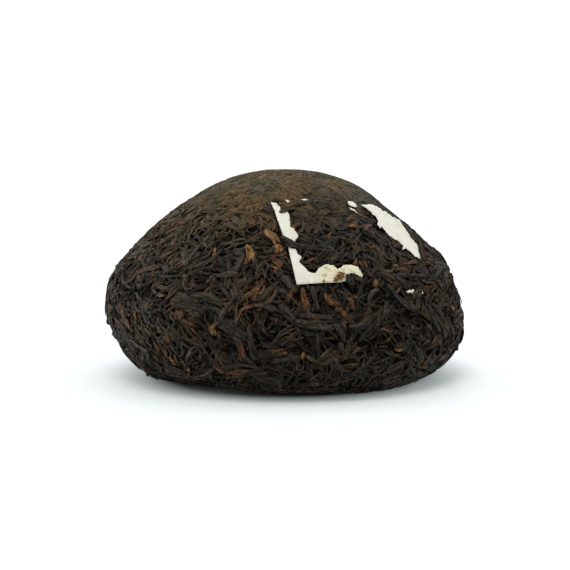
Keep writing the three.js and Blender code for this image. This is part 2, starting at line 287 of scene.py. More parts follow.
# %% Outlines of the ticket's remains
LEFT_REMAIN = [
    (16.4, 57.8), (10.8, 57.8), (4.1, 58.1), (3.1, 53.2), (2.2, 48.3), (1.7, 45), (0.6, 42.1),
    (-0.8, 36.5), (-2.3, 31.6), (-3.8, 28.1), (-2.1, 28.5), (-0.9, 29.8), (-0.6, 31.1), (1.1, 31.7),
    (1.9, 33), (2.4, 36.4), (2.2, 38), (3.4, 38.7), (4.5, 41.6), (3.7, 42.9), (3.5, 45.5), (4.2, 47.8),
    (5.4, 49.3), (4.8, 51), (6.2, 52.7), (8, 54.6), (9.3, 54.7), (10.5, 53), (12.2, 52), (14.2, 52.3),
    (15.8, 53.7), (17.4, 52.6), (19.5, 52.4), (21.8, 53.5), (23.1, 56), (22.6, 57.9), (21.3, 56.5),
    (20.3, 55.3), (18.1, 55.7), (18.1, 57.4),
]
RIGHT_REMAIN = [
    (25.4, 30.4), (29.6, 30.8), (32.2, 31.1), (35.1, 32.8), (36.5, 34.1), (39.2, 34.9), (41.2, 37),
    (44.3, 38), (46.1, 39), (45.1, 40.5), (45.8, 44.8), (47.6, 48.7), (46.9, 49.7), (46.1, 52.9),
    (44, 51.9), (42.1, 49.9), (41, 48.8), (38.7, 48.8), (39.7, 47.6), (38.1, 45.8), (35.3, 44.1),
    (33.7, 42.3), (32.4, 39.8), (31.3, 40.4), (30.6, 38.9), (31.7, 37.2), (30.7, 35.5), (28.6, 32.9),
    (26.5, 31.2),
]
# Middle round and down, half length, half width, and turn in degrees
OVAL_SCRAPS = [
    (21.1, 29.6, 2.3, 1, 27), (21.4, 32.2, 1.8, 0.3, 36), (1, 27.7, 0.9, 0.4, 50), (5, 27, 1.3, 0.4, -8),
]
OVAL_CORNERS = 9
LOW_SCRAPS = [
    [(37.9, 61.8), (38.6, 61.6), (39.6, 61.8), (40.7, 61.6), (40.6, 62.1), (40.1, 62.4), (39.8, 62.7),
     (39.5, 62.4), (38.5, 62.4), (37.9, 62.1)],
    [(43.1, 62), (44, 61.8), (44.4, 62.5), (44.7, 63.2), (43.8, 63)],
]
# How high the paper lies over the bare surface
PAPER_LIFT = 0.42
scrap_rng = np.random.default_rng(5)


def scrap_outline(scrap):
    """An oval whose corners are drawn in or out a little, turned on the surface."""
    round_mm, down, long, wide, turn = scrap
    angle = np.arange(OVAL_CORNERS) * 2 * np.pi / OVAL_CORNERS
    uneven = scrap_rng.uniform(0.8, 1.15, OVAL_CORNERS)
    x, y = long * uneven * np.cos(angle), wide * uneven * np.sin(angle)
    cosine, sine = np.cos(np.radians(turn)), np.sin(np.radians(turn))
    return np.stack([round_mm + x * cosine - y * sine, down + x * sine + y * cosine], -1)


ticket_outlines = {"ticket_left": np.array(LEFT_REMAIN), "ticket_right": np.array(RIGHT_REMAIN)}
scrap_outlines = [scrap_outline(scrap) for scrap in OVAL_SCRAPS]
scrap_outlines += [np.array(scrap) for scrap in LOW_SCRAPS]
for number, scrap in enumerate(scrap_outlines, 1):
    ticket_outlines[f"ticket_scrap_{number}"] = scrap
print("ticket pieces:", len(ticket_outlines))

# %% How far a place is from the paper
# Only places between these are near enough to the paper to be measured
TICKET_DOWN, TICKET_ROUND = (20, 68), (-9, 56)
FAR_AWAY = 99.0


def outline_distance(corners, round_mm, down):
    """Distance to the nearest side, negative inside. A place is inside when a line from it crosses the
    outline an odd number of times."""
    a, b = corners, np.roll(corners, -1, axis=0)
    side = b - a
    px, py = round_mm[:, None], down[:, None]
    along = ((px - a[:, 0]) * side[:, 0] + (py - a[:, 1]) * side[:, 1]) / (side**2).sum(1)
    along = np.clip(along, 0, 1)
    away = np.hypot(px - a[:, 0] - along * side[:, 0], py - a[:, 1] - along * side[:, 1]).min(1)
    height = np.where(side[:, 1] == 0, 1e-9, side[:, 1])
    crossing = (a[:, 1] > py) != (b[:, 1] > py)
    crossing &= px < side[:, 0] * (py - a[:, 1]) / height + a[:, 0]
    return np.where(crossing.sum(1) % 2 == 1, -away, away)


def paper_distance(down, azimuth):
    """Distance from each place to the nearest remain of the ticket, in millimetres, negative under it."""
    round_mm = shortest_turn(azimuth + np.pi / 2) * np.maximum(radius_at(down), LEAST_RADIUS)
    near = (down > TICKET_DOWN[0]) & (down < TICKET_DOWN[1])
    near &= (round_mm > TICKET_ROUND[0]) & (round_mm < TICKET_ROUND[1])
    result = np.full(down.shape, FAR_AWAY)
    for corners in ticket_outlines.values():
        result[near] = np.minimum(result[near], outline_distance(corners, round_mm[near], down[near]))
    return result


middle_of_front = paper_distance(np.array([50.0]), np.array([-np.pi / 2]))
print("from the middle of the front, 50 mm down, to the paper:", middle_of_front.round(2))

# %% [markdown]
# ## One leaf
# A leaf of this tea was rolled while it was soft, and it dried as a crumpled strip: a flattened roll with
# a groove along it, twisted, curled, blunt where it was broken and narrow at the bud. Its mesh is a section
# of seven points carried along a curling line on the cake's surface, with the section growing, turning and
# shrinking on the way. Thousands are needed, so each has only 98 triangles, and all the leaves of one kind
# are worked out together, as arrays with one row for each leaf.

# %% The section of a strip, and the line of its middle
# The section, as shares of half the width and half the thickness. It starts underneath, so that the seam
# of the surface pattern is hidden.
LEAF_SECTION = np.array(
    [(-0.3, -0.7), (0.55, -0.65), (1.0, 0.1), (0.45, 0.95), (0.05, 0.4), (-0.45, 0.85), (-1.0, 0.1)]
)
CRUMB_SECTION = np.array([(0.0, -0.8), (1.0, 0.1), (0.1, 1.0), (-1.0, 0.0)])
MIDDLE_LINE = np.linspace(-1, 1, 41)
MIDDLE = len(MIDDLE_LINE) // 2
# Where on that line the sections stand, besides its two tips
LEAF_STATIONS = [1, 5, 12, 20, 28, 35, 39]
STRAND_STATIONS = [2, 9, 20, 31, 38]
CRUMB_STATIONS = [5, 20, 35]


def fullness(t, blunt_tail, blunt_head):
    """The share of its full width that a strip has at t, from -1 to 1: the root of 1 - |t| to the power of
    the bluntness, which stays near 1 for longer the blunter that end is."""
    blunt = np.where(t < 0, blunt_tail[:, None], blunt_head[:, None])
    return np.sqrt(np.clip(1 - np.abs(t) ** blunt, 0, 1))


def middle_lines(leaf, stations):
    """Where each strip's middle runs, along and across its heading, and its direction there. At t, from -1
    to 1, it has turned away from the heading by curl t + snake (t^2 - 1/3) + hook t^3 past the middle."""
    t = MIDDLE_LINE[None, :]
    curl, snake, hook = (leaf[key][:, None] for key in ("curl", "snake", "hook"))
    direction = curl * t + snake * (t**2 - 1 / 3) + hook * np.maximum(0, t) ** 3
    step = leaf["length"][:, None] / 2 * (MIDDLE_LINE[1] - MIDDLE_LINE[0])
    lines = []
    for part in (np.cos(direction), np.sin(direction)):
        line = np.cumsum(np.pad((part[:, 1:] + part[:, :-1]) / 2, ((0, 0), (1, 0))), axis=1) * step
        lines.append((line - line[:, [MIDDLE]])[:, stations])
    return *lines, direction[:, stations]


print("sections of a leaf:", len(LEAF_STATIONS), "with points:", len(LEAF_SECTION))

# %% Where the points of a strip lie
# How far the width swells and shrinks along a strip, how flat the strip is, and what share of what stands
# over its cap is pressed away
SWELLING, FLATTENED, PRESSED_AWAY = 0.2, 0.8, 0.6
SECTION_CRUMPLE, POINT_CRUMPLE = 0.05, 0.03


def strip_places(leaf, stations, section, rng):
    """For each leaf, station and section point: the place down, the azimuth and the lift. The middle line
    is base + arch (1 - t^2) + tilt t high. The section is as wide as the fullness with a slow swelling, is
    turned by turn + twist t, crumpled, and pressed flat where it stands higher than its cap."""
    t = MIDDLE_LINE[stations][None, :]
    width = leaf["width"][:, None, None]
    line_along, line_across, lean = middle_lines(leaf, stations)
    swelling = 1 + SWELLING * np.sin(3.2 * t + leaf["phase"][:, None])
    full = (fullness(t, leaf["tail"], leaf["head"]) * swelling)[..., None]
    turn = (leaf["turn"][:, None] + leaf["twist"][:, None] * t)[..., None]
    wide = section[None, None, :, 0] * width / 2 * full
    tall = section[None, None, :, 1] * leaf["thick"][:, None, None] / 2 * full
    rows = (len(t[0]), len(section), 2)
    crumple = rng.normal(0, SECTION_CRUMPLE, (len(width), 1, *rows[1:]))
    crumple = crumple + rng.normal(0, POINT_CRUMPLE, (len(width), *rows))
    crumple *= width[..., None] * leaf["crumple"][:, None, None, None] * full[..., None]
    across = wide * np.cos(turn) - tall * np.sin(turn) + crumple[..., 0]
    lift = (wide * np.sin(turn) + tall * np.cos(turn)) * FLATTENED + crumple[..., 1]
    base, arch, tilt = (leaf[key][:, None] for key in ("lift", "arch", "tilt"))
    lift += (base + arch * (1 - t**2) + tilt * t)[..., None]
    lift -= np.maximum(0, lift - leaf["cap"][:, None, None]) * PRESSED_AWAY
    along_all = line_along[..., None] - across * np.sin(lean)[..., None]
    across_all = line_across[..., None] + across * np.cos(lean)[..., None]
    cosine, sine = np.cos(leaf["heading"])[:, None, None], np.sin(leaf["heading"])[:, None, None]
    down, azimuth = slide(
        leaf["down"][:, None, None],
        leaf["azimuth"][:, None, None],
        along_all * cosine - across_all * sine,
        along_all * sine + across_all * cosine,
    )
    return down, azimuth, lift


def closed_tube(rings, sides):
    """Corner numbers of a tube's faces: quads join its rings, triangles close it at its two tips. The
    rings' points come first, ring by ring, and then the tips."""
    ring = np.arange(rings * sides).reshape(rings, sides)
    beside = np.roll(ring, -1, axis=1)
    quads = np.stack([ring[:-1], ring[1:], beside[1:], beside[:-1]], -1).reshape(-1, 4)
    tail = np.stack([ring[0], beside[0], np.full(sides, rings * sides)], -1)
    head = np.stack([beside[-1], ring[-1], np.full(sides, rings * sides + 1)], -1)
    return quads, np.vstack([tail, head])


quads_of_one, triangles_of_one = closed_tube(len(LEAF_STATIONS), len(LEAF_SECTION))
LEAF_TRIANGLES = 2 * len(quads_of_one) + len(triangles_of_one)
print("triangles of one leaf:", LEAF_TRIANGLES)

# %% [markdown]
# ## The calm crown
# The crown was pressed hardest and handled most. There the strips lie flat, dust fills the gaps between
# them, and a few warm patches show. These helpers say how much of each a place has, and the leaves, the
# core and their materials all ask them.

# %% How calm, how dusty and how warm a place is
CALM_CROWN, FILLED_CROWN = (23, 47), (30, 68)
CALM_LEAN, CALM_LEAN_AZIMUTH = 3, -20
CROWN_FILL = 0.36
# Warm patches on the crown: place round from the front, place down, and reach, in millimetres
WARM_PATCHES = [
    (-3.1, 6.6, 3.5), (1.7, 11.3, 3), (1.9, 18.9, 2), (2.2, 24.5, 2), (5.7, 14.9, 1.5), (-13.7, 26, 1.8),
    (-10.8, 28.5, 1.8), (-7.9, 31.3, 2), (-5.5, 34.5, 2.2), (-12, 21.3, 1.6), (-17.2, 23.9, 1.8),
    (17.8, 19, 2), (21.8, 21.3, 1.8), (3, 29.5, 2.4), (-0.5, 27.5, 2),
]


def unevenness(down, azimuth, limits=CALM_CROWN):
    """0 on the calm crown, 1 on the sides. The calm part reaches lower on the right."""
    return smoothstep(down - CALM_LEAN * np.cos(azimuth - np.radians(CALM_LEAN_AZIMUTH)), *limits)


def crown_fill(down, azimuth):
    """Dust fills the gaps on the crown, so there the depth counts as this much less, and the gaps get less
    painted shade.
    """
    return CROWN_FILL * (1 - unevenness(down, azimuth, FILLED_CROWN))


def warm_patch(down, azimuth):
    """How far each place lies in a warm patch: the highest of the patches' bell curves."""
    highest = np.zeros(down.shape)
    for round_mm, patch_down, reach in WARM_PATCHES:
        patch = placed(np.array(patch_down), azimuth_of(round_mm, patch_down), np.array(0.0))
        away = np.linalg.norm(surface_point(down, azimuth) - patch, axis=-1)
        highest = np.maximum(highest, np.exp(-(away**2) / (2 * reach**2)))
    return highest


unevenness_of_front = unevenness(np.array([20, 35, 50]), -np.pi / 2)
print("unevenness 20, 35 and 50 mm down on the front:", unevenness_of_front.round(2))

# %% [markdown]
# ## Into a mesh
# One helper puts arrays of points, quads and triangles into a mesh. Each strip also carries a surface map,
# along and round it in centimetres, for the fine wrinkles. Three values go with its points: a tone between
# 0 and 1, one for each strip, so that no two neighbours have the same colour, how high the point stands,
# because the deep parts are painted black as shade, and how far it lies in a warm patch.

# %% The mesh of a piece
CM_PER_MM = 0.1
BOX_GAP = 0.02
pieces = {}


def mesh_piece(name, points, quads, triangles, surface_map=None, values=None):
    """A mesh object from points in millimetres. The surface map has a row for each corner of each face, and
    each of the values has a number for each point."""
    mesh = bpy.data.meshes.new(name)
    mesh.vertices.add(len(points))
    mesh.vertices.foreach_set("co", (points * MM).astype(np.float32).ravel())
    corners = np.concatenate([quads.ravel(), triangles.ravel()])
    starts = np.concatenate([np.arange(len(quads)) * 4, quads.size + np.arange(len(triangles)) * 3])
    mesh.loops.add(len(corners))
    mesh.loops.foreach_set("vertex_index", corners.astype(np.int32))
    mesh.polygons.add(len(starts))
    mesh.polygons.foreach_set("loop_start", starts.astype(np.int32))
    mesh.update(calc_edges=True)
    if surface_map is not None:
        layer = mesh.uv_layers.new(name="surface_map")
        layer.data.foreach_set("uv", surface_map.astype(np.float32).ravel())
    for value_name, value in (values or {}).items():
        layer = mesh.attributes.new(value_name, "FLOAT", "POINT")
        layer.data.foreach_set("value", value.astype(np.float32))
    mesh.shade_smooth()
    pieces[name] = in_scene(name, mesh)
    return pieces[name]


def keep_in_box(points):
    """Nothing reaches out of the CAD model's box or under the table."""
    low, high = np.array(cad_box) / MM
    return np.clip(points, low + BOX_GAP, high - BOX_GAP)


print("box of the CAD model in mm:", (np.array(cad_box) / MM).round(1).tolist())

# %% All the strips of one kind as one mesh
# Strips stay this far under the paper, and beyond a margin round it their ceiling rises at this slope
UNDER_PAPER, CEILING_RISE, PAPER_MARGIN = 0.2, 1.2, 0.25
# The way round a strip, in widths
GIRTH = 2.2


def with_tips(places):
    """The rings' points of each strip in a row, then its two tips: the means of its first and last ring."""
    count = len(places)
    return np.concatenate([places[:, 1:-1].reshape(count, -1), places[:, [0, -1]].mean(2)], axis=1).ravel()


def strip_map(leaf, faces, ring_of, side_of, shift):
    """The surface map of some faces of each strip: half the length times the ring's place, and the girth
    times the side's share, which ends at 1 where a face closes the seam. Each strip has its own shift."""
    along = ring_of[faces][None] * leaf["length"][:, None, None] / 2
    share = side_of[faces]
    share = np.where((share == 0) & (share.max(1, keepdims=True) > 0.7), 1.0, share)
    around = share[None] * leaf["width"][:, None, None] * GIRTH
    return (np.stack([along, around], -1) * CM_PER_MM + shift).reshape(-1, 2)


def strips_piece(name, leaf, stations, section, rng, over_paper=False):
    """All the strips of one kind as one mesh. Where a strip would come through the paper it is pressed down
    to just under it, more and more gently up to a millimetre away."""
    count, rings, sides = len(leaf["down"]), len(stations), len(section)
    all_stations = [0, *stations, len(MIDDLE_LINE) - 1]
    down, azimuth, lift = (with_tips(places) for places in strip_places(leaf, all_stations, section, rng))
    if not over_paper:
        beyond = np.maximum(0, paper_distance(down, azimuth) - PAPER_MARGIN)
        lift = np.minimum(lift, PAPER_LIFT - UNDER_PAPER + CEILING_RISE * beyond)
    points = keep_in_box(placed(down, azimuth, lift))
    corners = rings * sides + 2
    offset = (np.arange(count) * corners)[:, None, None]
    quads, triangles = closed_tube(rings, sides)
    ring_of = np.concatenate([np.repeat(MIDDLE_LINE[stations], sides), [-1.0, 1.0]])
    side_of = np.concatenate([np.tile(np.arange(sides) / sides, rings), [0.5, 0.5]])
    shift = rng.uniform(0, 9, (count, 1, 1, 2))
    maps = [strip_map(leaf, faces, ring_of, side_of, shift) for faces in (quads, triangles)]
    values = {
        "tone": np.repeat(leaf["tone"], corners),
        "stands": lift + crown_fill(down, azimuth),
        "patch": warm_patch(down, azimuth),
    }
    quads, triangles = (quads[None] + offset).reshape(-1, 4), (triangles[None] + offset).reshape(-1, 3)
    return mesh_piece(name, points, quads, triangles, np.vstack(maps), values)


print("points of one leaf:", len(LEAF_STATIONS) * len(LEAF_SECTION) + 2)

# %% [markdown]
# ## Laying the leaves
# The leaves went into the bag in small sticking tufts: three to six strips lie nearly side by side, and
# the next tuft runs another way. A bed of single leaves comes first, deep and in all directions. Then the
# tufts go on, each with its own heading, height and tilt, so that one dips under its neighbour. Most
# leaves are black, and the brown, russet and golden ones keep together in warm blotches. Each leaf is a
# row of a table, which only becomes a mesh at the end.

# %% The numbers of each leaf
# Length and width, each a mean and a spread in millimetres, thickness as a share of the width, and the
# range of how blunt the ends are
KINDS = {
    "black": {"length": (8.6, 2.8), "width": (0.88, 0.28), "thick": 0.8, "blunt": (5, 16)},
    "brown": {"length": (7.6, 2.5), "width": (0.88, 0.27), "thick": 0.74, "blunt": (4.5, 14)},
    "russet": {"length": (5.2, 1.7), "width": (0.98, 0.26), "thick": 0.68, "blunt": (3.5, 12)},
    "golden": {"length": (4.2, 1.1), "width": (1.0, 0.25), "thick": 0.6, "blunt": (2, 6)},
}
KIND_NAMES = list(KINDS)
LENGTH_LIMITS, WIDTH_LIMITS = (2.6, 13.0), (0.6, 1.9)
# Between these distances down, the leaves grow from this share of their length to all of it
SHORT_LEAVES, SHORT_SHARE = (34, 58), 0.68
# How many are wide, and how many are loose, which starts and ends at these distances down
WIDE_SHARE, LOOSE_SHARE = 0.12, 0.13
LOOSE_FROM, LOOSE_TO = (48, 60), 86


def of_kind(key, kind):
    """For each leaf, the numbers of that name for its kind."""
    return np.array([KINDS[name][key] for name in KIND_NAMES])[kind]


def leaf_table(rng, down, azimuth, heading, lift, tilt, curl, kind):
    """The remaining numbers of each leaf, drawn for its kind. One leaf in eight is wide and flat. On the
    calm crown all lie lower, flatter and wider, and on the sides one in eight has an end sticking up."""
    count = len(down)
    sides = unevenness(down, azimuth)
    calm = mix(0.1, 1.0, sides)
    loose = (rng.uniform(0, 1, count) < LOOSE_SHARE * smoothstep(down, *LOOSE_FROM)) & (down < LOOSE_TO)
    wide_one = rng.uniform(0, 1, count) < WIDE_SHARE
    width = np.clip(rng.normal(*of_kind("width", kind).T), *WIDTH_LIMITS) * np.where(wide_one, 1.6, 1.0)
    width *= mix(1.5, 1.0, sides)
    length = np.clip(rng.normal(*of_kind("length", kind).T), *LENGTH_LIMITS)
    length *= mix(SHORT_SHARE, 1.0, smoothstep(down, *SHORT_LEAVES))
    thick = width * of_kind("thick", kind) * rng.uniform(0.75, 1.2, count)
    thick *= np.where(wide_one, 0.7, 1.0)
    thick *= mix(0.35, 1.0, calm)
    blunt = of_kind("blunt", kind).T
    return {
        "down": down,
        "azimuth": azimuth,
        "heading": heading,
        "length": length,
        "width": width,
        "thick": thick,
        "curl": curl,
        "snake": rng.normal(0, 1.15, count),
        "hook": rng.normal(0, 2.1, count) * (rng.uniform(0, 1, count) < 0.65),
        "phase": rng.uniform(0, 2 * np.pi, count),
        "lift": mix(-0.25, lift, calm) + 0.15 * loose,
        "arch": rng.uniform(0.05, 0.35, count) * calm,
        "tilt": tilt * calm * np.where(loose, 2.0, 1),
        "cap": mix(-0.1, rng.uniform(0.1, 0.42, count), calm) + 0.45 * loose,
        "turn": rng.normal(0, 0.5, count) * calm,
        "twist": rng.normal(0, 0.65, count) * calm,
        "tail": rng.uniform(*blunt),
        "head": rng.uniform(*blunt),
        "crumple": np.ones(count),
        "tone": rng.uniform(0, 1, count),
        "kind": kind,
    }


def joined(*tables):
    """Several tables of leaves as one."""
    return {key: np.concatenate([table[key] for table in tables]) for key in tables[0]}


def chosen(leaf, wanted):
    """The rows of a table of leaves for which wanted is true."""
    return {key: value[wanted] for key, value in leaf.items()}


print("kinds of leaf:", KIND_NAMES)

# %% The bed and the tufts
def swirl(down, azimuth):
    """The slow swirls in which the pressing dragged the leaves, as a heading in radians."""
    return 1.4 * np.sin(3 * azimuth + 0.06 * down + 1) + 1.2 * np.sin(0.1 * down - 2 * azimuth)


def warmth_of_place(down, azimuth):
    """0 to 1 in blotches about a centimetre across, where the tufts hold more warm leaves or fewer."""
    waves = np.sin(7 * azimuth + 0.21 * down + 0.6) + np.sin(0.47 * down - 5 * azimuth + 2.1)
    waves += np.sin(11 * azimuth - 0.33 * down + 4)
    return smoothstep(waves, -0.6, 1.6)


def draw_kinds(rng, warm):
    """A kind number for each leaf: the warmer its tuft, the likelier brown, russet and golden leaves."""
    chance = rng.uniform(0, 1, len(warm))
    brown, russet, golden = 0.2 + 0.25 * warm, 0.05 + 0.38 * warm, 0.018 + 0.05 * warm
    kind = np.zeros(len(warm), int)
    kind[chance < brown + russet + golden] = 1
    kind[chance < russet + golden] = 2
    kind[chance < golden] = 3
    return kind


def bed_of_leaves(rng, count):
    """Single leaves, deep down, heading anywhere."""
    down, azimuth = even_places(count, start=0.4)
    heading = rng.uniform(0, 2 * np.pi, count)
    lift = rng.uniform(-0.9, -0.5, count)
    kind = draw_kinds(rng, rng.uniform(0, 0.4, count))
    tilt, curl = rng.normal(0, 0.2, count), rng.normal(0, 0.6, count)
    return leaf_table(rng, down, azimuth, heading, lift, tilt, curl, kind)


def tufts_of_leaves(rng, tufts, most):
    """Tufts of three leaves or more, nearly parallel. The strand numbers go across the tuft, a leaf's width
    apart, and all the strands of a tuft curl the same way. Warm tufts keep to the warm blotches."""
    down, azimuth = scattered_places(rng, tufts, start=2.1, scatter=1.2)
    heading = swirl(down, azimuth) + rng.normal(0, 0.95, tufts)
    strands = rng.integers(3, most + 1, tufts)
    owner = np.repeat(np.arange(tufts), strands)
    strand = np.arange(len(owner)) - np.repeat(np.cumsum(strands) - strands, strands)
    lane = (strand - (strands[owner] - 1) / 2) * rng.uniform(0.85, 1.2, tufts)[owner]
    lane += rng.normal(0, 0.2, len(owner))
    slip = rng.normal(0, 1.6, len(owner))
    cosine, sine = np.cos(heading)[owner], np.sin(heading)[owner]
    place = slide(down[owner], azimuth[owner], slip * cosine - lane * sine, slip * sine + lane * cosine)
    lift = rng.uniform(-0.62, -0.08, tufts)[owner] + rng.normal(0, 0.1, len(owner))
    tilt = rng.normal(0, 0.25, tufts)[owner] + rng.normal(0, 0.08, len(owner))
    curl = rng.normal(0, 0.65, tufts)[owner] + rng.normal(0, 0.28, len(owner))
    warm = (rng.uniform(0, 1, tufts) ** 3 * mix(0.45, 1.6, warmth_of_place(down, azimuth)))[owner]
    fan = rng.normal(0, 0.18, len(owner))
    return leaf_table(rng, *place, heading[owner] + fan, lift, tilt, curl, draw_kinds(rng, warm))


rng = np.random.default_rng(1889)
bed = bed_of_leaves(rng, count=1000)
tufts = tufts_of_leaves(rng, tufts=1640, most=6)
print("leaves in the bed:", len(bed["down"]), "in tufts:", len(tufts["down"]))

# %% Keep the middles of the upper leaves off the paper
CLEAR_OF_PAPER = 0.8
clear = paper_distance(tufts["down"], tufts["azimuth"]) > CLEAR_OF_PAPER
tufts = chosen(tufts, clear)
print("leaves left in tufts:", len(tufts["down"]))

# %% [markdown]
# ## Leaves laid one by one
# Some leaves catch the eye: golden buds left of the ticket, a russet cluster over its top, a dark strip
# across its left side, a long wavy one and a big bent one on the front. These are laid one by one on top of
# the others, some of them over the paper. Their ends and middles were picked by eye in the photograph. A
# separate measuring script turned them into millimetres on the cake through the camera below, and many
# rows were then corrected by hand. A wide one is a fold of several ridges, so it is laid as that many
# narrow strips side by side.

# %% Where the leaves laid one by one are
# Middle round and down in millimetres, length, heading in degrees from the right towards the foot, bend,
# and width
HAND_LAID = {
    "black": [
        (-11.5, 51.4, 7.2, -78, -0.4, 1), (-12, 59.8, 7, 66, -0.2, 1.9), (-26.6, 63, 9.9, 18, 1.2, 1.4),
        (-19, 65.2, 6.5, 12, 0.9, 1.3), (-21.8, 61.6, 12.8, 9, 1.1, 1.3), (-20.9, 62.6, 10.7, 11, 0.7, 1.1),
        (-26.7, 65.3, 10.3, 2, 0.6, 1.1), (-28.2, 63.7, 7.9, 2, 0.5, 1), (1.4, 66.4, 7.4, 49, -0.6, 2.4),
        (9, 69.3, 12.8, 4, -0.1, 2.4), (9.4, 67.1, 10, 7, 0.3, 1.3), (-13.8, 70.8, 9.8, 36, 0.2, 3.3),
        (-9.3, 74, 10.5, 87, -0.7, 1.6), (9.1, 62.2, 7.4, 82, -0.1, 1.4), (15.9, 71.2, 6.9, 59, 1.3, 1.3),
        (17.1, 76.6, 5.9, 107, 0.6, 1.4), (15.6, 76.9, 5.3, 78, -0.5, 1), (-0.6, 78.8, 8.1, -7, 0.1, 1.5),
        (-4, 64.2, 5.2, 22, 0.1, 1.3), (-3.7, 59.8, 8.3, -48, 0.2, 1.1), (1.8, 57.9, 6.2, 49, -0.5, 1.5),
        (40.6, 57.3, 12.8, 5, 0, 0.9), (42.3, 60.2, 9, 18, 2, 1), (26.9, 54.8, 5.4, -32, 1.5, 1),
        (42.2, 62.5, 5.1, -26, 0.2, 2.1), (35.7, 64.6, 12.7, 41, -2.3, 1.2), (41.9, 66.3, 6, -53, -1.8, 1.2),
        (35, 63.1, 7.3, 50, -0.6, 1), (40, 66.1, 2.8, 31, 1.2, 1), (52.1, 72.5, 11, 53, 0, 1.2),
    ],
    "brown": [
        (-15.3, 55.3, 6.5, -7, 0.1, 1.3), (-15, 58.1, 2.8, 63, -0.1, 1.3), (-15.8, 81.1, 6.3, -12, 0.4, 1.1),
        (11.2, 78.6, 6.7, -33, 0, 3.6), (-48, 78.4, 8.8, 16, -0.3, 1), (-29, 50.8, 5.8, 52, 0.5, 1.2),
        (-35.7, 50.2, 7.4, 129, 0.2, 0.8), (-47.6, 48.3, 4.9, -19, -0.7, 1.1),
        (11.6, 32.5, 4, -12, -0.8, 1.4), (31.1, 57, 5.1, 34, 0.2, 2), (56.1, 50.1, 5.8, 43, 0.6, 1.7),
        (51.2, 54.4, 4.7, 38, 0.4, 1.7),
    ],
    "russet": [
        (-42.5, 55.8, 9.4, -20, 0, 1.5), (-29.2, 67.4, 3, 7, 0, 1.5), (-26.4, 66.1, 2.8, -13, -0.1, 0.9),
        (-3.8, 76.9, 8.6, -12, 0.2, 1.7), (-12.6, 76.7, 6, 86, 0.4, 1), (-11.8, 76.7, 5.2, 85, 0.2, 0.9),
        (-19.2, 82.4, 3.9, 61, 0.4, 1.1), (-13.9, 83.1, 7.9, -12, 0.1, 1.1), (-7.1, 60.9, 4.2, 106, 0, 1.3),
        (13.8, 63.2, 5.5, 40, -1, 1.3), (13, 62.4, 3.7, 102, -1.3, 1), (20, 63.9, 4.1, 75, 0.9, 1.1),
        (-54, 69.5, 4.7, 69, -0.1, 1.1), (-32.7, 80.7, 3.3, 87, -0.3, 0.8), (-48.2, 52.6, 3.4, 24, 0.1, 1.2),
        (-34.3, 45.7, 3.5, 59, 0, 0.9), (-44.8, 44.6, 4.7, -44, 0, 1), (-9.6, 49.6, 4.2, -87, -0.4, 0.9),
        (36.8, 55.3, 5.8, 9, 0, 1.1), (41.1, 53.2, 6.8, 4, 0.3, 1.1), (54.5, 72.6, 6.9, 49, 0.3, 1.2),
        (47.3, 77.2, 4.7, 129, 0, 0.8), (48.6, 77.8, 5.2, 133, 1.3, 0.8), (42.3, 75.1, 2.7, 55, -0.1, 1),
        (-52, 72.4, 4.9, 37, 0.2, 1.2), (-67.2, 74, 2.8, 106, 0, 0.9), (-41.7, 66.1, 2.4, -37, 0, 0.9),
        (-34.1, 74.8, 2.7, 60, 0, 1.2), (6.2, 62.3, 7.1, 80, -0.1, 1.7), (16.9, 66.3, 4.8, 43, 0.9, 1.4),
        (-9.7, 64.8, 4.1, 156, -0.3, 0.9),
    ],
    "golden": [
        (-2.7, 41.4, 7.4, 53, 0.4, 2.1), (-1, 46, 3.3, 77, 0.2, 2), (-8.9, 47.5, 7, 66, 0.6, 2),
        (-19.5, 47.6, 3.4, 79, 0.2, 0.9), (-19.6, 71.2, 3, 78, 0, 1.5), (4.3, 77.7, 2, -59, 0, 0.9),
        (-52.3, 72.9, 4, 26, 0.2, 1), (-47.3, 69.4, 2.4, 81, 0, 1), (-34.2, 81.2, 3.2, 69, 0.3, 0.8),
        (-30.7, 80.6, 2.4, 88, 0.7, 0.8), (21, 38.4, 2.9, 8, 0, 0.9), (27.2, 58.9, 2.6, 120, 0.1, 1.5),
        (61, 69, 2.9, 40, 0.5, 1.2), (33.1, 77.8, 3.7, 11, -0.2, 0.8), (-55.3, 69.4, 1.8, 69, 0, 0.8),
        (-29.2, 83.8, 2.2, -46, 0, 0.9),
    ],
}
OVER_TICKET = {
    "black": [
        (1.1, 31.2, 4.8, -24, 0.1, 1.3), (2, 43.7, 6.6, 47, 0.2, 1.7), (2.6, 45.2, 3.6, 30, -0.1, 1.2),
        (19.2, 57.3, 3.4, 72, 0.6, 1.5), (21.6, 57.2, 3.6, 45, -0.3, 1.3), (18.8, 57.2, 2.3, -71, -0.1, 1.2),
        (41, 62.9, 3.9, -37, 0.2, 1), (43, 62.9, 3, -40, 0.1, 0.9),
    ],
    "russet": [
        (-1.7, 26.6, 3.4, 14, 0.8, 1.2), (2.7, 29.2, 7.7, -20, -0.4, 1.2), (0.8, 29, 4.7, 7, -0.1, 1.1),
        (3.1, 28.2, 5, -12, 0.2, 1),
    ],
}
SPLINTERS = {"russet": [(-48.2, 87, 2.8, 20, 0, 0.6)], "black": [(57, 66, 3, 60, 0, 0.6)]}
print("leaves laid by hand:", {kind: len(rows) for kind, rows in HAND_LAID.items()})

# %% Leaves laid one by one
RIDGE_WIDTH = 1.05
# For each kind, how far the leaf is lifted, and how much lighter it is
HAND_LIFT_AND_TONE = np.array([(0.24, 0), (0.24, 0), (0.22, 0.15), (0.3, 0.35)])


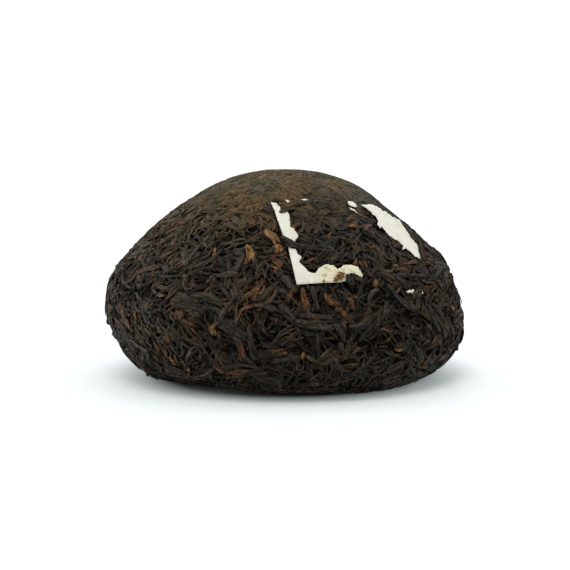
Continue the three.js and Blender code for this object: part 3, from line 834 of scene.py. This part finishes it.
def ridges_of(row, kind):
    """The strips side by side that make up one leaf. A bud opens in two even when it is narrow."""
    round_mm, down, length, heading, bend, width = row
    count = max(2 if kind == "golden" else 1, round(width / RIDGE_WIDTH))
    across = np.array([-np.sin(np.radians(heading)), np.cos(np.radians(heading))])
    share = (np.arange(count) + 0.5) / count - 0.5
    places = np.array([round_mm, down]) + share[:, None] * 0.95 * width * across
    return [
        (*place, length * (1 - 0.25 * abs(side)), heading + 10 * side, bend, 1.3 * width / count)
        for place, side in zip(places, share)
    ]


def hand_table(rng, laid, base_lift, rise=0.0):
    """A table of leaves from the listed rows. A strip whose middle lies that far off the line between its
    ends curls by four times that, over its length, to either side. The rise lifts its head."""
    rows = [
        (*strip, KIND_NAMES.index(kind))
        for kind, leaves in laid.items()
        for leaf in leaves
        for strip in ridges_of(leaf, kind)
    ]
    round_mm, down, length, heading, bend, width, kind = np.array(rows, float).T
    kind = kind.astype(int)
    count = len(rows)
    kind_lift, kind_tone = HAND_LIFT_AND_TONE[kind].T
    lift = base_lift + kind_lift
    tilt = rise + rng.normal(0, 0.06, count)
    azimuth = azimuth_of(round_mm, down)
    table = leaf_table(rng, down, azimuth, np.radians(heading), lift, tilt, 4 * bend / length, kind)
    table.update(length=length, width=width, snake=rng.normal(0, 0.15, count), hook=np.zeros(count))
    table.update(thick=width * rng.uniform(0.5, 0.7, count), lift=lift, cap=lift + 0.3 + rise, tilt=tilt)
    table.update(arch=np.full(count, 0.14), turn=rng.normal(0, 0.2, count), crumple=np.full(count, 1.5))
    table.update(tone=rng.uniform(0.35, 0.85, count) + kind_tone)
    return table


hand_rng = np.random.default_rng(41)
by_hand = joined(
    hand_table(hand_rng, HAND_LAID, base_lift=0.0),
    hand_table(hand_rng, SPLINTERS, base_lift=0.6, rise=0.9),
)
over_ticket = hand_table(hand_rng, OVER_TICKET, base_lift=PAPER_LIFT)
print("strips laid by hand:", len(by_hand["down"]) + len(over_ticket["down"]))

# %% [markdown]
# ## From tables to pieces
# Each kind of leaf is a piece, and the two commonest kinds are cut into layers by height, so that every
# mesh stays well under 200,000 triangles.

# %% The pieces of leaf
LAYERS = {"black": ("_lower", "_middle", "_upper"), "brown": ("_lower", "_upper")}
leaf_groups = {}
for number, kind in enumerate(KIND_NAMES):
    table = joined(*(chosen(source, source["kind"] == number) for source in (bed, tufts, by_hand)))
    layers = LAYERS.get(kind, ("",))
    rank = np.argsort(np.argsort(table["lift"]))
    for index, layer in enumerate(layers):
        leaf_groups[f"leaves_{kind}{layer}"] = chosen(table, rank * len(layers) // len(rank) == index)
for name, table in leaf_groups.items():
    strips_piece(name, table, LEAF_STATIONS, LEAF_SECTION, rng)
    print(f"{name}: {len(table['down'])} leaves, {len(table['down']) * LEAF_TRIANGLES} triangles")
for kind in OVER_TICKET:
    table = chosen(over_ticket, over_ticket["kind"] == KIND_NAMES.index(kind))
    strips_piece(f"leaves_over_ticket_{kind}", table, LEAF_STATIONS, LEAF_SECTION, rng, over_paper=True)

# %% [markdown]
# ## Bits in the gaps
# Between the strips sit crumbs and broken ends, and thin strands that curl away into the gaps. They are
# the same strip with four sides: short and thick with three sections for a crumb, thin with five for a
# strand.

# %% Crumbs and thin strands
# Seed, count and stations, and then where they begin to wind round, their ranges of lift, warmth and size
# in millimetres, the spread of their tilt and curl, and how crumpled they are
BITS = {
    "crumbs": (77, 3600, CRUMB_STATIONS, {
        "start": 1.1, "lift": (-0.5, 0.0), "warm": 0.9, "warm_power": 2, "tilt": 0.1, "curl": 0,
        "sizes": {"length": (1.2, 3.4), "width": (0.5, 1.05), "thick": (0.35, 0.7)}, "crumple": 2.0,
    }),
    "thin_strands": (78, 2000, STRAND_STATIONS, {
        "start": 2.7, "lift": (-0.7, -0.2), "warm": 0.6, "warm_power": 1, "tilt": 0.12, "curl": 0.9,
        "sizes": {"length": (3, 7.5), "width": (0.5, 0.9), "thick": (0.4, 0.7)}, "crumple": 1.6,
    }),
}


def bits_in_gaps(rng, count, start, lift, warm, warm_power, tilt, curl, sizes, crumple):
    """A table of bits heading anywhere, low in the gaps between the leaves."""
    down, azimuth = scattered_places(rng, count, start, scatter=0.8)
    heading = rng.uniform(0, 2 * np.pi, count)
    lift = rng.uniform(*lift, count)
    kind = draw_kinds(rng, rng.uniform(0, warm, count) ** warm_power)
    tilt = rng.normal(0, tilt, count)
    curl = rng.normal(0, curl, count) if curl else np.zeros(count)
    table = leaf_table(rng, down, azimuth, heading, lift, tilt, curl, kind)
    for key, limits in sizes.items():
        table[key] = rng.uniform(*limits, count)
    table["crumple"] = np.full(count, crumple)
    return table


for name, (seed, count, stations, numbers) in BITS.items():
    bit_rng = np.random.default_rng(seed)
    bits = bits_in_gaps(bit_rng, count, **numbers)
    for shade, wanted in (("dark", bits["kind"] < 2), ("warm", bits["kind"] >= 2)):
        strips_piece(f"{name}_{shade}", chosen(bits, wanted), stations, CRUMB_SECTION, bit_rng)
        print(f"{name}_{shade}:", wanted.sum())

# %% [markdown]
# ## The core
# Under the strips lies the rest of the pressed leaf, seen only in the gaps. It is one closed surface, less
# than a millimetre under the bare outline and nearer to it on the crown. Smooth random relief roughens it,
# and its colour is painted dark, as the shade in the gaps where little light gets.

# %% The core under the leaves
def smooth_noise(rng, rows, columns, size):
    """Random numbers on a grid, blurred by a bell curve of that size in cells, then scaled to spread 1. The
    blur is a product in the frequency domain, so the grid closes on itself."""
    waves = np.fft.fft2(rng.normal(0, 1, (rows, columns)))
    frequency = np.add.outer(np.fft.fftfreq(rows) ** 2, np.fft.fftfreq(columns) ** 2)
    blurred = np.real(np.fft.ifft2(waves * np.exp(-2 * (np.pi * size) ** 2 * frequency)))
    return blurred / blurred.std()


def core_piece(name, rings, spokes, depth, crown_depth, relief):
    """A grid of places down and round, each lifted by minus the depth plus relief, closed by a point at the
    crown and one at the roof of the hollow. The core comes nearer the surface where the crown is calm."""
    down = np.linspace(0, WHOLE_LENGTH, rings + 2)[1:-1]
    azimuth = np.linspace(0, 2 * np.pi, spokes, endpoint=False)
    down, azimuth = np.meshgrid(down, azimuth, indexing="ij")
    sides = unevenness(down, azimuth)
    noise_of_core = smooth_noise(np.random.default_rng(9), rings, spokes, size=1.1)
    lift = -mix(crown_depth, depth, sides) + mix(0.4, 1, sides) * relief * noise_of_core
    grid = placed(down, azimuth, lift).reshape(-1, 3)
    poles = placed(np.array([0.0, WHOLE_LENGTH]), np.zeros(2), np.array([-crown_depth, -depth]))
    values = {
        "stands": np.concatenate([(lift + crown_fill(down, azimuth)).ravel(), [0, -depth]]),
        "patch": np.concatenate([warm_patch(down, azimuth).ravel(), [1, 0]]),
    }
    points = keep_in_box(np.vstack([grid, poles]))
    return mesh_piece(name, points, *closed_tube(rings, spokes), values=values)


core = core_piece("pressed_core", rings=150, spokes=420, depth=0.8, crown_depth=0.24, relief=0.16)
print("core faces:", len(core.data.polygons))

# %% Do all faces point outwards?
def signed_volume(piece):
    """Sum of the signed tetrahedra between the origin and each face: positive if the faces point out."""
    mesh = piece.data
    mesh.calc_loop_triangles()
    corners = np.empty(len(mesh.loop_triangles) * 3, np.int32)
    mesh.loop_triangles.foreach_get("vertices", corners)
    points = np.empty(len(mesh.vertices) * 3, np.float32)
    mesh.vertices.foreach_get("co", points)
    a, b, c = points.reshape(-1, 3).astype(float)[corners.reshape(-1, 3)].transpose(1, 0, 2)
    return np.einsum("ij,ij->i", a, np.cross(b, c)).sum() / 6 * 1e6


for name, piece in pieces.items():
    print(f"{name}: {signed_volume(piece):.2f} cubic centimetres")

# %% [markdown]
# ## Surfaces
# Every leaf has the same kind of skin, so its wrinkles and colours are one shader group. The group reads
# the strip's own surface map: noise drawn out along the strip gives fine lengthwise wrinkles, whose raised
# parts are also painted lighter as highlights, and a coarser one gives paler and darker stretches. It reads
# the place in the cake for what runs over several leaves: rust, and the olive dust of the crown, which
# reaches lower on the left as painted light. Each kind of leaf then has its own dark and light colour, and
# its own share of rust and dust. A few helpers keep the node trees short.

# %% Helpers for materials
def feed(tree, node, inputs):
    """Give a node its inputs, by name or number: a socket is linked to it, anything else is its value."""
    for key, value in inputs.items():
        if isinstance(value, bpy.types.NodeSocket):
            tree.links.new(value, node.inputs[key])
        else:
            node.inputs[key].default_value = value


def add(tree, kind, inputs=None, **settings):
    """A node of that kind, with its settings and its inputs."""
    node = tree.nodes.new(f"ShaderNode{kind}")
    for key, value in settings.items():
        setattr(node, key, value)
    feed(tree, node, inputs or {})
    return node


def maths(tree, operation, *values, clamp=False):
    """A Math node on values or sockets. MULTIPLY_ADD is the first times the second, plus the third."""
    return add(tree, "Math", dict(enumerate(values)), operation=operation, use_clamp=clamp).outputs[0]


def noise(tree, place, scale, detail, roughness=0.5, distortion=0.0):
    """A Noise Texture node, whose value lies round a half."""
    inputs = {"Vector": place, "Scale": scale, "Detail": detail, "Roughness": roughness}
    return add(tree, "TexNoise", {**inputs, "Distortion": distortion}).outputs["Fac"]


def value_range(tree, value, low, high, to_low=0.0, to_high=1.0, smooth=False):
    """A Map Range node: low..high becomes to_low..to_high, clamped."""
    inputs = {"Value": value, "From Min": low, "From Max": high, "To Min": to_low, "To Max": to_high}
    kind = "SMOOTHSTEP" if smooth else "LINEAR"
    return add(tree, "MapRange", inputs, interpolation_type=kind).outputs["Result"]


def colour_mix(tree, share, a, b):
    """A Mix node for colours: a where the share is 0, b where it is 1. Both may be sockets or colours."""
    return add(tree, "Mix", {0: share, 6: a, 7: b}, data_type="RGBA").outputs[2]


def new_material(name, inputs):
    """A material, its tree, and its Principled shader with those values."""
    material = bpy.data.materials.new(name)
    material.use_nodes = True
    shader = material.node_tree.nodes["Principled BSDF"]
    feed(material.node_tree, shader, inputs)
    return material, material.node_tree, shader


print("helpers:", [helper.__name__ for helper in (feed, add, maths, noise, value_range, colour_mix)])

# %% The sockets of the leaf skin
def new_group(name, inputs, outputs):
    """A shader node group, what comes into it and the node that it goes out by. Each socket is a name and a
    type, and an input has a value as well."""
    group = bpy.data.node_groups.new(name, "ShaderNodeTree")
    for socket, (kind, value) in inputs.items():
        made = group.interface.new_socket(socket, in_out="INPUT", socket_type=f"NodeSocket{kind}")
        if value is not None:
            made.default_value = value
    for socket, kind in outputs.items():
        group.interface.new_socket(socket, in_out="OUTPUT", socket_type=f"NodeSocket{kind}")
    entry = group.nodes.new("NodeGroupInput")
    return group, [entry.outputs[socket] for socket in inputs], group.nodes.new("NodeGroupOutput")


leaf_skin, skin_inputs, skin_output = new_group(
    "leaf_skin",
    {
        "Surface Map": ("Vector", None),
        "Place": ("Vector", None),
        "Tone": ("Float", 0.5),
        "Stands": ("Float", 0.0),
        "Patch": ("Float", 0.0),
        "Dark": ("Color", (0.01, 0.008, 0.006, 1)),
        "Light": ("Color", (0.04, 0.03, 0.02, 1)),
        "Rust": ("Float", 0.3),
        "Dust": ("Float", 1.0),
    },
    {"Color": "Color", "Roughness": "Float", "Height": "Float"},
)
surface_map, place, tone, stands, patch, dark, light, rust, dust = skin_inputs
print("inputs of the leaf skin:", [socket.name for socket in skin_inputs])

# %% Wrinkles with painted highlights, paler stretches and grit
stretched = add(leaf_skin, "Mapping", {"Vector": surface_map, "Scale": (2.8, 16.0, 1.0)}).outputs[0]
wrinkles = noise(leaf_skin, stretched, 1.0, 2.0)
# Partly painted highlight: where the wrinkles rise, the skin also gets the lighter colour, as lit ridges
wrinkle_tone_and_highlight = value_range(leaf_skin, wrinkles, 0.42, 0.58)
stretches = value_range(leaf_skin, noise(leaf_skin, surface_map, 4.0, 2.0), 0.38, 0.75, 0.0, 0.8)
pale = maths(leaf_skin, "MULTIPLY_ADD", wrinkle_tone_and_highlight, 0.8, stretches)
pale = maths(leaf_skin, "MULTIPLY", pale, value_range(leaf_skin, tone, 0, 1, 0.02, 0.98))
grit = value_range(leaf_skin, noise(leaf_skin, place, 1300.0, 2.0), 0.36, 0.56, 0.75, 0.0)
plain_skin = colour_mix(leaf_skin, grit, colour_mix(leaf_skin, pale, dark, light), dark)
print("nodes so far:", len(leaf_skin.nodes))

# %% Rust over several leaves, and the crown's dust and warm patches
RUST_COLOUR = (0.088, 0.042, 0.014, 1)
DUST_COLOURS = ((0.033, 0.026, 0.0088, 1), (0.083, 0.0658, 0.0216, 1))
WARM_DUST_COLOURS = ((0.05, 0.028, 0.007, 1), (0.11, 0.065, 0.016, 1))
rust_spots = value_range(leaf_skin, noise(leaf_skin, place, 230.0, 4.0, 0.6), 0.52, 0.68)
rusty = colour_mix(leaf_skin, maths(leaf_skin, "MULTIPLY", rust_spots, rust), plain_skin, RUST_COLOUR)
# The dust starts above a level that rises to the right. It is partly real dust and partly painted light:
# it reaches lower on the left, and there its lighter colour also stands in for the extra light on that side.
split_place = add(leaf_skin, "SeparateXYZ", {0: place})
leaning = maths(leaf_skin, "MULTIPLY_ADD", split_place.outputs["X"], -0.22, split_place.outputs["Z"])
high_up = value_range(leaf_skin, leaning, 0.042, 0.057, 0.0, 0.9, smooth=True)
high_up = maths(leaf_skin, "MULTIPLY", high_up, dust)
dust_spots = value_range(leaf_skin, noise(leaf_skin, place, 420.0, 4.0), 0.35, 0.65, 0.2, 1.0)
dusted = colour_mix(
    leaf_skin,
    maths(leaf_skin, "MULTIPLY", high_up, dust_spots),
    rusty,
    colour_mix(leaf_skin, wrinkle_tone_and_highlight, *DUST_COLOURS),
)
patch_edge = maths(leaf_skin, "MULTIPLY_ADD", patch, 0.2, noise(leaf_skin, place, 150.0, 4.0, 0.6))
crown_colour = colour_mix(
    leaf_skin,
    maths(leaf_skin, "MULTIPLY", value_range(leaf_skin, patch_edge, 0.51, 0.66), high_up),
    dusted,
    colour_mix(leaf_skin, wrinkle_tone_and_highlight, *WARM_DUST_COLOURS),
)
print("nodes so far:", len(leaf_skin.nodes))

# %% What lies deep is painted black as shade, and stays dull
# Painted shade: the lower a point stands, the more its colour is mixed towards this black, as the shade in
# the gaps
GAP_SHADE_COLOUR = (0.0036, 0.0025, 0.001, 1)
deep = value_range(leaf_skin, stands, -0.44, 0.32, 0.97, 0.0, smooth=True)
roughness = value_range(leaf_skin, wrinkles, 0.3, 0.7, 0.4, 0.68)
skin_looks = {
    "Color": colour_mix(leaf_skin, deep, crown_colour, GAP_SHADE_COLOUR),
    "Roughness": maths(leaf_skin, "MULTIPLY_ADD", deep, 0.5, roughness, clamp=True),
    "Height": wrinkles,
}
feed(leaf_skin, skin_output, skin_looks)
print("nodes of the leaf skin:", len(leaf_skin.nodes))

# %% One material for each kind of leaf, and one for the core
# Dark colour, light colour, how much of the rust shows, and how much of the crown's dust
LEAF_LOOKS = {
    "black": ((0.003, 0.0022, 0.001, 1), (0.0578, 0.049, 0.0318, 1), 0.4, 1.0),
    "brown": ((0.0038, 0.0025, 0.0011, 1), (0.081, 0.057, 0.029, 1), 0.6, 1.0),
    "russet": ((0.01, 0.005, 0.0025, 1), (0.138, 0.058, 0.017, 1), 0.4, 0.22),
    "golden": ((0.024, 0.012, 0.004, 1), (0.28, 0.142, 0.036, 1), 0.3, 0.3),
}
# The core's colours are painted dark, as the shade in the gaps between the leaves
CORE_LOOK = ((0.005, 0.004, 0.003, 1), (0.03, 0.022, 0.014, 1), 0.5, 1.0)
# A word in the name of a piece, and whose look that piece has
LOOK_OF = {kind: kind for kind in LEAF_LOOKS} | {"dark": "black", "warm": "russet", "core": "core"}


def skin_material(name, look, specular, bump, strips=True):
    """The leaf skin group feeding a Principled shader, with the wrinkles as bump. Strips bring a surface
    map and a tone of their own. The core has neither, so its place in centimetres serves as its map."""
    material, tree, shader = new_material(name, {"Specular IOR Level": specular})
    inputs = dict(zip(("Dark", "Light", "Rust", "Dust"), look))
    inputs["Place"] = add(tree, "TexCoord").outputs["Object"]
    for value in ("Stands", "Patch", "Tone") if strips else ("Stands", "Patch"):
        inputs[value] = add(tree, "Attribute", attribute_name=value.lower()).outputs["Fac"]
    if strips:
        inputs["Surface Map"] = add(tree, "UVMap", uv_map="surface_map").outputs["UV"]
    else:
        in_centimetres = {"Vector": inputs["Place"], "Scale": (100.0, 100.0, 100.0)}
        inputs["Surface Map"] = add(tree, "Mapping", in_centimetres).outputs[0]
    skin = add(tree, "Group", inputs, node_tree=leaf_skin).outputs
    relief = add(tree, "Bump", {"Height": skin["Height"], "Strength": bump[0], "Distance": bump[1]})
    looks = {"Base Color": skin["Color"], "Roughness": skin["Roughness"], "Normal": relief.outputs[0]}
    feed(tree, shader, looks)
    return material


skins = {kind: skin_material(f"leaf_{kind}", look, 0.14, (1.0, 0.001)) for kind, look in LEAF_LOOKS.items()}
skins["core"] = skin_material("pressed_leaf", CORE_LOOK, 0.1, (0.8, 0.0004), strips=False)
for name, piece in pieces.items():
    look = next(look for word, look in LOOK_OF.items() if word in name)
    piece.data.materials.append(skins[look])
print("materials:", {name: piece.data.materials[0].name for name, piece in pieces.items()})

# %% [markdown]
# ## The paper of the ticket
# The remains are thin soft paper: straight where it was cut, ragged where it was torn, pressed down
# between the leaves so that their shapes show through, with tea stains where it got wet. Each outline is
# first made ragged, then filled with small triangles, then bent over the cake and given a thickness.

# %% Ragged sheets of paper
# Sides of an outline that were cut straight, the step along a torn one and how far its teeth reach
CUT_SIDES = {"ticket_left": range(9)}
TEAR_STEP, TEAR_TEETH = 0.3, 0.13
NET_STEP = 0.8
PAPER_THICKNESS = 0.14


def ragged(corners, cut_sides, rng):
    """The outline in short steps. On torn sides each new point is drawn out or in at random, and the draw
    is smoothed a little, so that the tear has both bites and fine teeth."""
    points = []
    for index, (a, b) in enumerate(zip(corners, np.roll(corners, -1, axis=0))):
        steps = max(2, int(np.linalg.norm(b - a) / TEAR_STEP))
        share = np.arange(steps)[:, None] / steps
        side = a + (b - a) * share
        if index not in cut_sides:
            out = np.array([b[1] - a[1], a[0] - b[0]]) / np.linalg.norm(b - a)
            draw = rng.normal(0, TEAR_TEETH, (steps, 1))
            draw[1:] = 0.6 * draw[1:] + 0.4 * draw[:-1]
            draw[0] = 0
            side = side + out * draw
        points.append(side)
    return np.vstack(points)


def paper_piece(name, corners, rng):
    """A ragged outline filled with a triangle net, bent over the cake at the paper's lift plus waves for
    the leaves beneath, its rim a little higher, then made solid."""
    border = ragged(corners, CUT_SIDES.get(name, ()), rng)
    rows = [np.arange(low, high, NET_STEP) for low, high in zip(border.min(0), border.max(0))]
    net = np.stack(np.meshgrid(*rows), -1)
    net = net.reshape(-1, 2) + rng.uniform(-0.15, 0.15, (net.size // 2, 2))
    net = net[outline_distance(border, net[:, 0], net[:, 1]) < -0.3]
    flat = [Vector(point) for point in np.vstack([border, net])]
    rim = [(i, (i + 1) % len(border)) for i in range(len(border))]
    made = delaunay_2d_cdt(flat, rim, [list(range(len(border)))], 1, 1e-5)
    places = np.array([tuple(point) for point in made[0]])
    faces = np.array(made[2])
    down = places[:, 1]
    azimuth = azimuth_of(places[:, 0], down)
    dents = 0.09 * np.sin(1.9 * places[:, 0] + 1.3 * down) * np.sin(1.1 * down - 0.7 * places[:, 0])
    dents += 0.04 * np.sin(3.1 * down - 2.3 * places[:, 0])
    edge = np.exp(outline_distance(border, places[:, 0], down) / 0.5)
    lift = PAPER_LIFT + dents + 0.06 * edge
    points = placed(down, azimuth, lift)
    ticket_map = places[faces].reshape(-1, 2) * CM_PER_MM
    piece = mesh_piece(name + "_paper", points, np.zeros((0, 4), int), faces, ticket_map)
    first = piece.data.polygons[0]
    near = surface_normal(down[faces[0]], azimuth[faces[0]]).mean(0)
    if np.dot(np.array(first.normal), near) < 0:
        piece.data.flip_normals()
    solid = piece.modifiers.new("thickness", "SOLIDIFY")
    solid.thickness = PAPER_THICKNESS * MM
    solid.offset = 0
    return piece


paper_rng = np.random.default_rng(12)
papers = {name: paper_piece(name, corners, paper_rng) for name, corners in ticket_outlines.items()}
print("paper pieces:", {name: len(piece.data.polygons) for name, piece in papers.items()})

# %% The paper's material: plain paper
PLAIN_COLOURS = ((0.565, 0.558, 0.48, 1), (0.49, 0.47, 0.39, 1))
paper_material, paper_tree, paper_shader = new_material("ticket_paper", {"Specular IOR Level": 0.2})
paper_place = add(paper_tree, "TexCoord").outputs["Object"]
ticket_map = add(paper_tree, "UVMap", uv_map="surface_map").outputs["UV"]
clouds = value_range(paper_tree, noise(paper_tree, paper_place, 320.0, 3.0), 0.4, 0.75)
plain_paper = colour_mix(paper_tree, clouds, *PLAIN_COLOURS)
fibres = noise(paper_tree, paper_place, 2600.0, 4.0, 0.65)
paper_bump = add(paper_tree, "Bump", {"Height": fibres, "Strength": 0.25, "Distance": 0.0001})
paper_roughness = value_range(paper_tree, fibres, 0.3, 0.7, 0.75, 0.95)
print("nodes so far:", len(paper_tree.nodes))

# %% The cream part and the tea stains
# The low right end of the left remain is cream and speckled. The map is in centimetres, round and down.
CREAM_COLOURS = ((0.56, 0.52, 0.37, 1), (0.19, 0.14, 0.06, 1))
STAIN_COLOURS = ((0.04, 0.012, 0.001, 1), (0.15, 0.075, 0.014, 1))
# Tea stains: place round and down in centimetres, radius, and strength
STAINS = [
    (1.64, 5.6, 0.19, 1), (1.52, 5.7, 0.1, 1), (1.19, 5.56, 0.08, 0.45), (1.17, 5.73, 0.05, 0.8),
    (2.22, 5.72, 0.09, 0.8),
]
STAIN_EDGE = 0.08
split_map = add(paper_tree, "SeparateXYZ", {0: ticket_map})
cream_left = value_range(paper_tree, split_map.outputs["X"], 0.95, 1.15)
cream_right = value_range(paper_tree, split_map.outputs["X"], 2.45, 2.5, 1.0, 0.0)
cream_top = value_range(paper_tree, split_map.outputs["Y"], 4.8, 4.9)
cream_band = maths(paper_tree, "MULTIPLY", cream_left, cream_right)
cream_part = maths(paper_tree, "MULTIPLY", cream_band, cream_top)
speckles = value_range(paper_tree, noise(paper_tree, ticket_map, 8.0, 4.0, 0.75, 1.5), 0.54, 0.66)
cream = colour_mix(paper_tree, speckles, *CREAM_COLOURS)
paper_colour = colour_mix(paper_tree, cream_part, plain_paper, cream)
edge_noise = noise(paper_tree, ticket_map, 14.0, 2.0)
stain_colour = colour_mix(paper_tree, value_range(paper_tree, edge_noise, 0.4, 0.62), *STAIN_COLOURS)
for round_cm, down_cm, radius, strength in STAINS:
    ends = {0: ticket_map, 1: (round_cm, down_cm, 0)}
    distance = add(paper_tree, "VectorMath", ends, operation="DISTANCE").outputs["Value"]
    uneven = maths(paper_tree, "MULTIPLY_ADD", edge_noise, 2 * STAIN_EDGE, distance)
    full, none = STAIN_EDGE + radius * 0.55, STAIN_EDGE + radius
    stain = value_range(paper_tree, uneven, full, none, strength, 0.0)
    paper_colour = colour_mix(paper_tree, stain, paper_colour, stain_colour)
paper_looks = {"Base Color": paper_colour, "Roughness": paper_roughness, "Normal": paper_bump.outputs[0]}
feed(paper_tree, paper_shader, paper_looks)
for piece in papers.values():
    piece.data.materials.append(paper_material)
print("nodes of the paper:", len(paper_tree.nodes))

# %% [markdown]
# ## What each piece stands for
# The core and the leaves stand for the CAD model's one solid of tea, and each paper piece for its own
# solid. All of them move with the only body.

# %% Ride and replace
for name, piece in pieces.items():
    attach(piece, "root")
    if name.endswith("_paper"):
        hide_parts(name.removesuffix("_paper"))
    else:
        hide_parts("tea_cake")
print("pieces:", len(pieces))

# %% [markdown]
# ## Floor, light and camera
# The cake stands on a white sweep. A broad soft light from above leans back a little, a smaller one comes
# from high in front, and a third lies very low on the left. They leave the crown pale, the flank dark and
# a tight soft shadow round the foot. The floor has a faint painted glow that lifts its shadows, but not
# under the cake, so a painted shadow keeps the gap under its lifted edge dark. The camera looks almost
# level, from 60 cm away.

# %% Floor
FLOOR_REACH = 40.0
FLOOR_LOOK = {"Base Color": (0.56, 0.575, 0.573, 1), "Roughness": 0.6, "Specular IOR Level": 0.2}
# Painted light: the floor's blue-green glow lifts its shadows, and it stops under the cake to paint a shadow
# there
FLOOR_GLOW, GLOW_STRENGTH = (0.9, 1.0, 0.985, 1), 0.22
# The painted glow grows between these two distances from the axis, in metres. Nearer the axis it is
# missing, which paints a shadow under the cake
GLOW_FROM, GLOW_FULL = 0.034, 0.043
corner_signs = ((-1, -1), (1, -1), (1, 1), (-1, 1))
floor_corners = [(x * FLOOR_REACH, y * FLOOR_REACH, 0) for x, y in corner_signs]
floor_mesh = bpy.data.meshes.new("floor")
floor_mesh.from_pydata(floor_corners, [], [(0, 1, 2, 3)])
floor = in_scene("floor", floor_mesh)
floor_material, floor_tree, floor_shader = new_material("white_floor", FLOOR_LOOK)
floor_place = add(floor_tree, "TexCoord").outputs["Object"]
from_axis = add(floor_tree, "VectorMath", {0: floor_place}, operation="LENGTH").outputs["Value"]
glow_outside_painted_shadow = value_range(floor_tree, from_axis, GLOW_FROM, GLOW_FULL, smooth=True)
glow = colour_mix(floor_tree, glow_outside_painted_shadow, (0, 0, 0, 1), FLOOR_GLOW)
feed(floor_tree, floor_shader, {"Emission Color": glow, "Emission Strength": GLOW_STRENGTH})
floor_mesh.materials.append(floor_material)
print("floor reaches", FLOOR_REACH, "m each way")

# %% Light
# The world is white where the camera sees it, and dimmer for everything that it lights
LIT_STRENGTH, SEEN_STRENGTH = 0.37, 1.1
# Strength, spread, azimuth and elevation in degrees
SUNS = {
    "overhead": (2.75, 120, 155, 79),
    "high in front": (1.4, 30, -10, 60),
    "low left": (2.5, 24, -106, 3),
}
world = bpy.data.worlds.new("studio")
world.use_nodes = True
bpy.context.scene.world = world
seen = add(world.node_tree, "LightPath").outputs["Is Camera Ray"]
world_strength = value_range(world.node_tree, seen, 0, 1, LIT_STRENGTH, SEEN_STRENGTH)
background = world.node_tree.nodes["Background"]
feed(world.node_tree, background, {"Color": (0.95, 1.0, 1.03, 1), "Strength": world_strength})
for name, (strength, spread, azimuth, elevation) in SUNS.items():
    lamp = bpy.data.lights.new(name, "SUN")
    lamp.energy = strength
    lamp.angle = np.radians(spread)
    in_scene(name, lamp).rotation_euler = (np.radians(90 - elevation), 0, np.radians(azimuth))
print("lights:", list(SUNS))

# %% Camera
CAMERA_DISTANCE = 0.600
CAMERA_ELEVATION = np.radians(7.2)
AIM_HEIGHT = 0.027
FOCAL_PIXELS = 2023
PICTURE_PIXELS = 570
camera_data = bpy.data.cameras.new("camera")
camera_data.sensor_width = 36
camera_data.lens = FOCAL_PIXELS / PICTURE_PIXELS * camera_data.sensor_width
camera_data.clip_end = 200
camera = in_scene("camera", camera_data)
camera.location = (
    0,
    -CAMERA_DISTANCE * np.cos(CAMERA_ELEVATION),
    AIM_HEIGHT + CAMERA_DISTANCE * np.sin(CAMERA_ELEVATION),
)
camera.rotation_euler = (np.pi / 2 - CAMERA_ELEVATION, 0, 0)
bpy.context.scene.camera = camera
bpy.context.scene.view_settings.view_transform = "Standard"
print(f"lens {camera_data.lens:.0f} mm, {CAMERA_DISTANCE * 100:.0f} cm away")

# %% Sizes, and done
print("CAD box", [[round(v / MM, 2) for v in c] for c in cad_box])
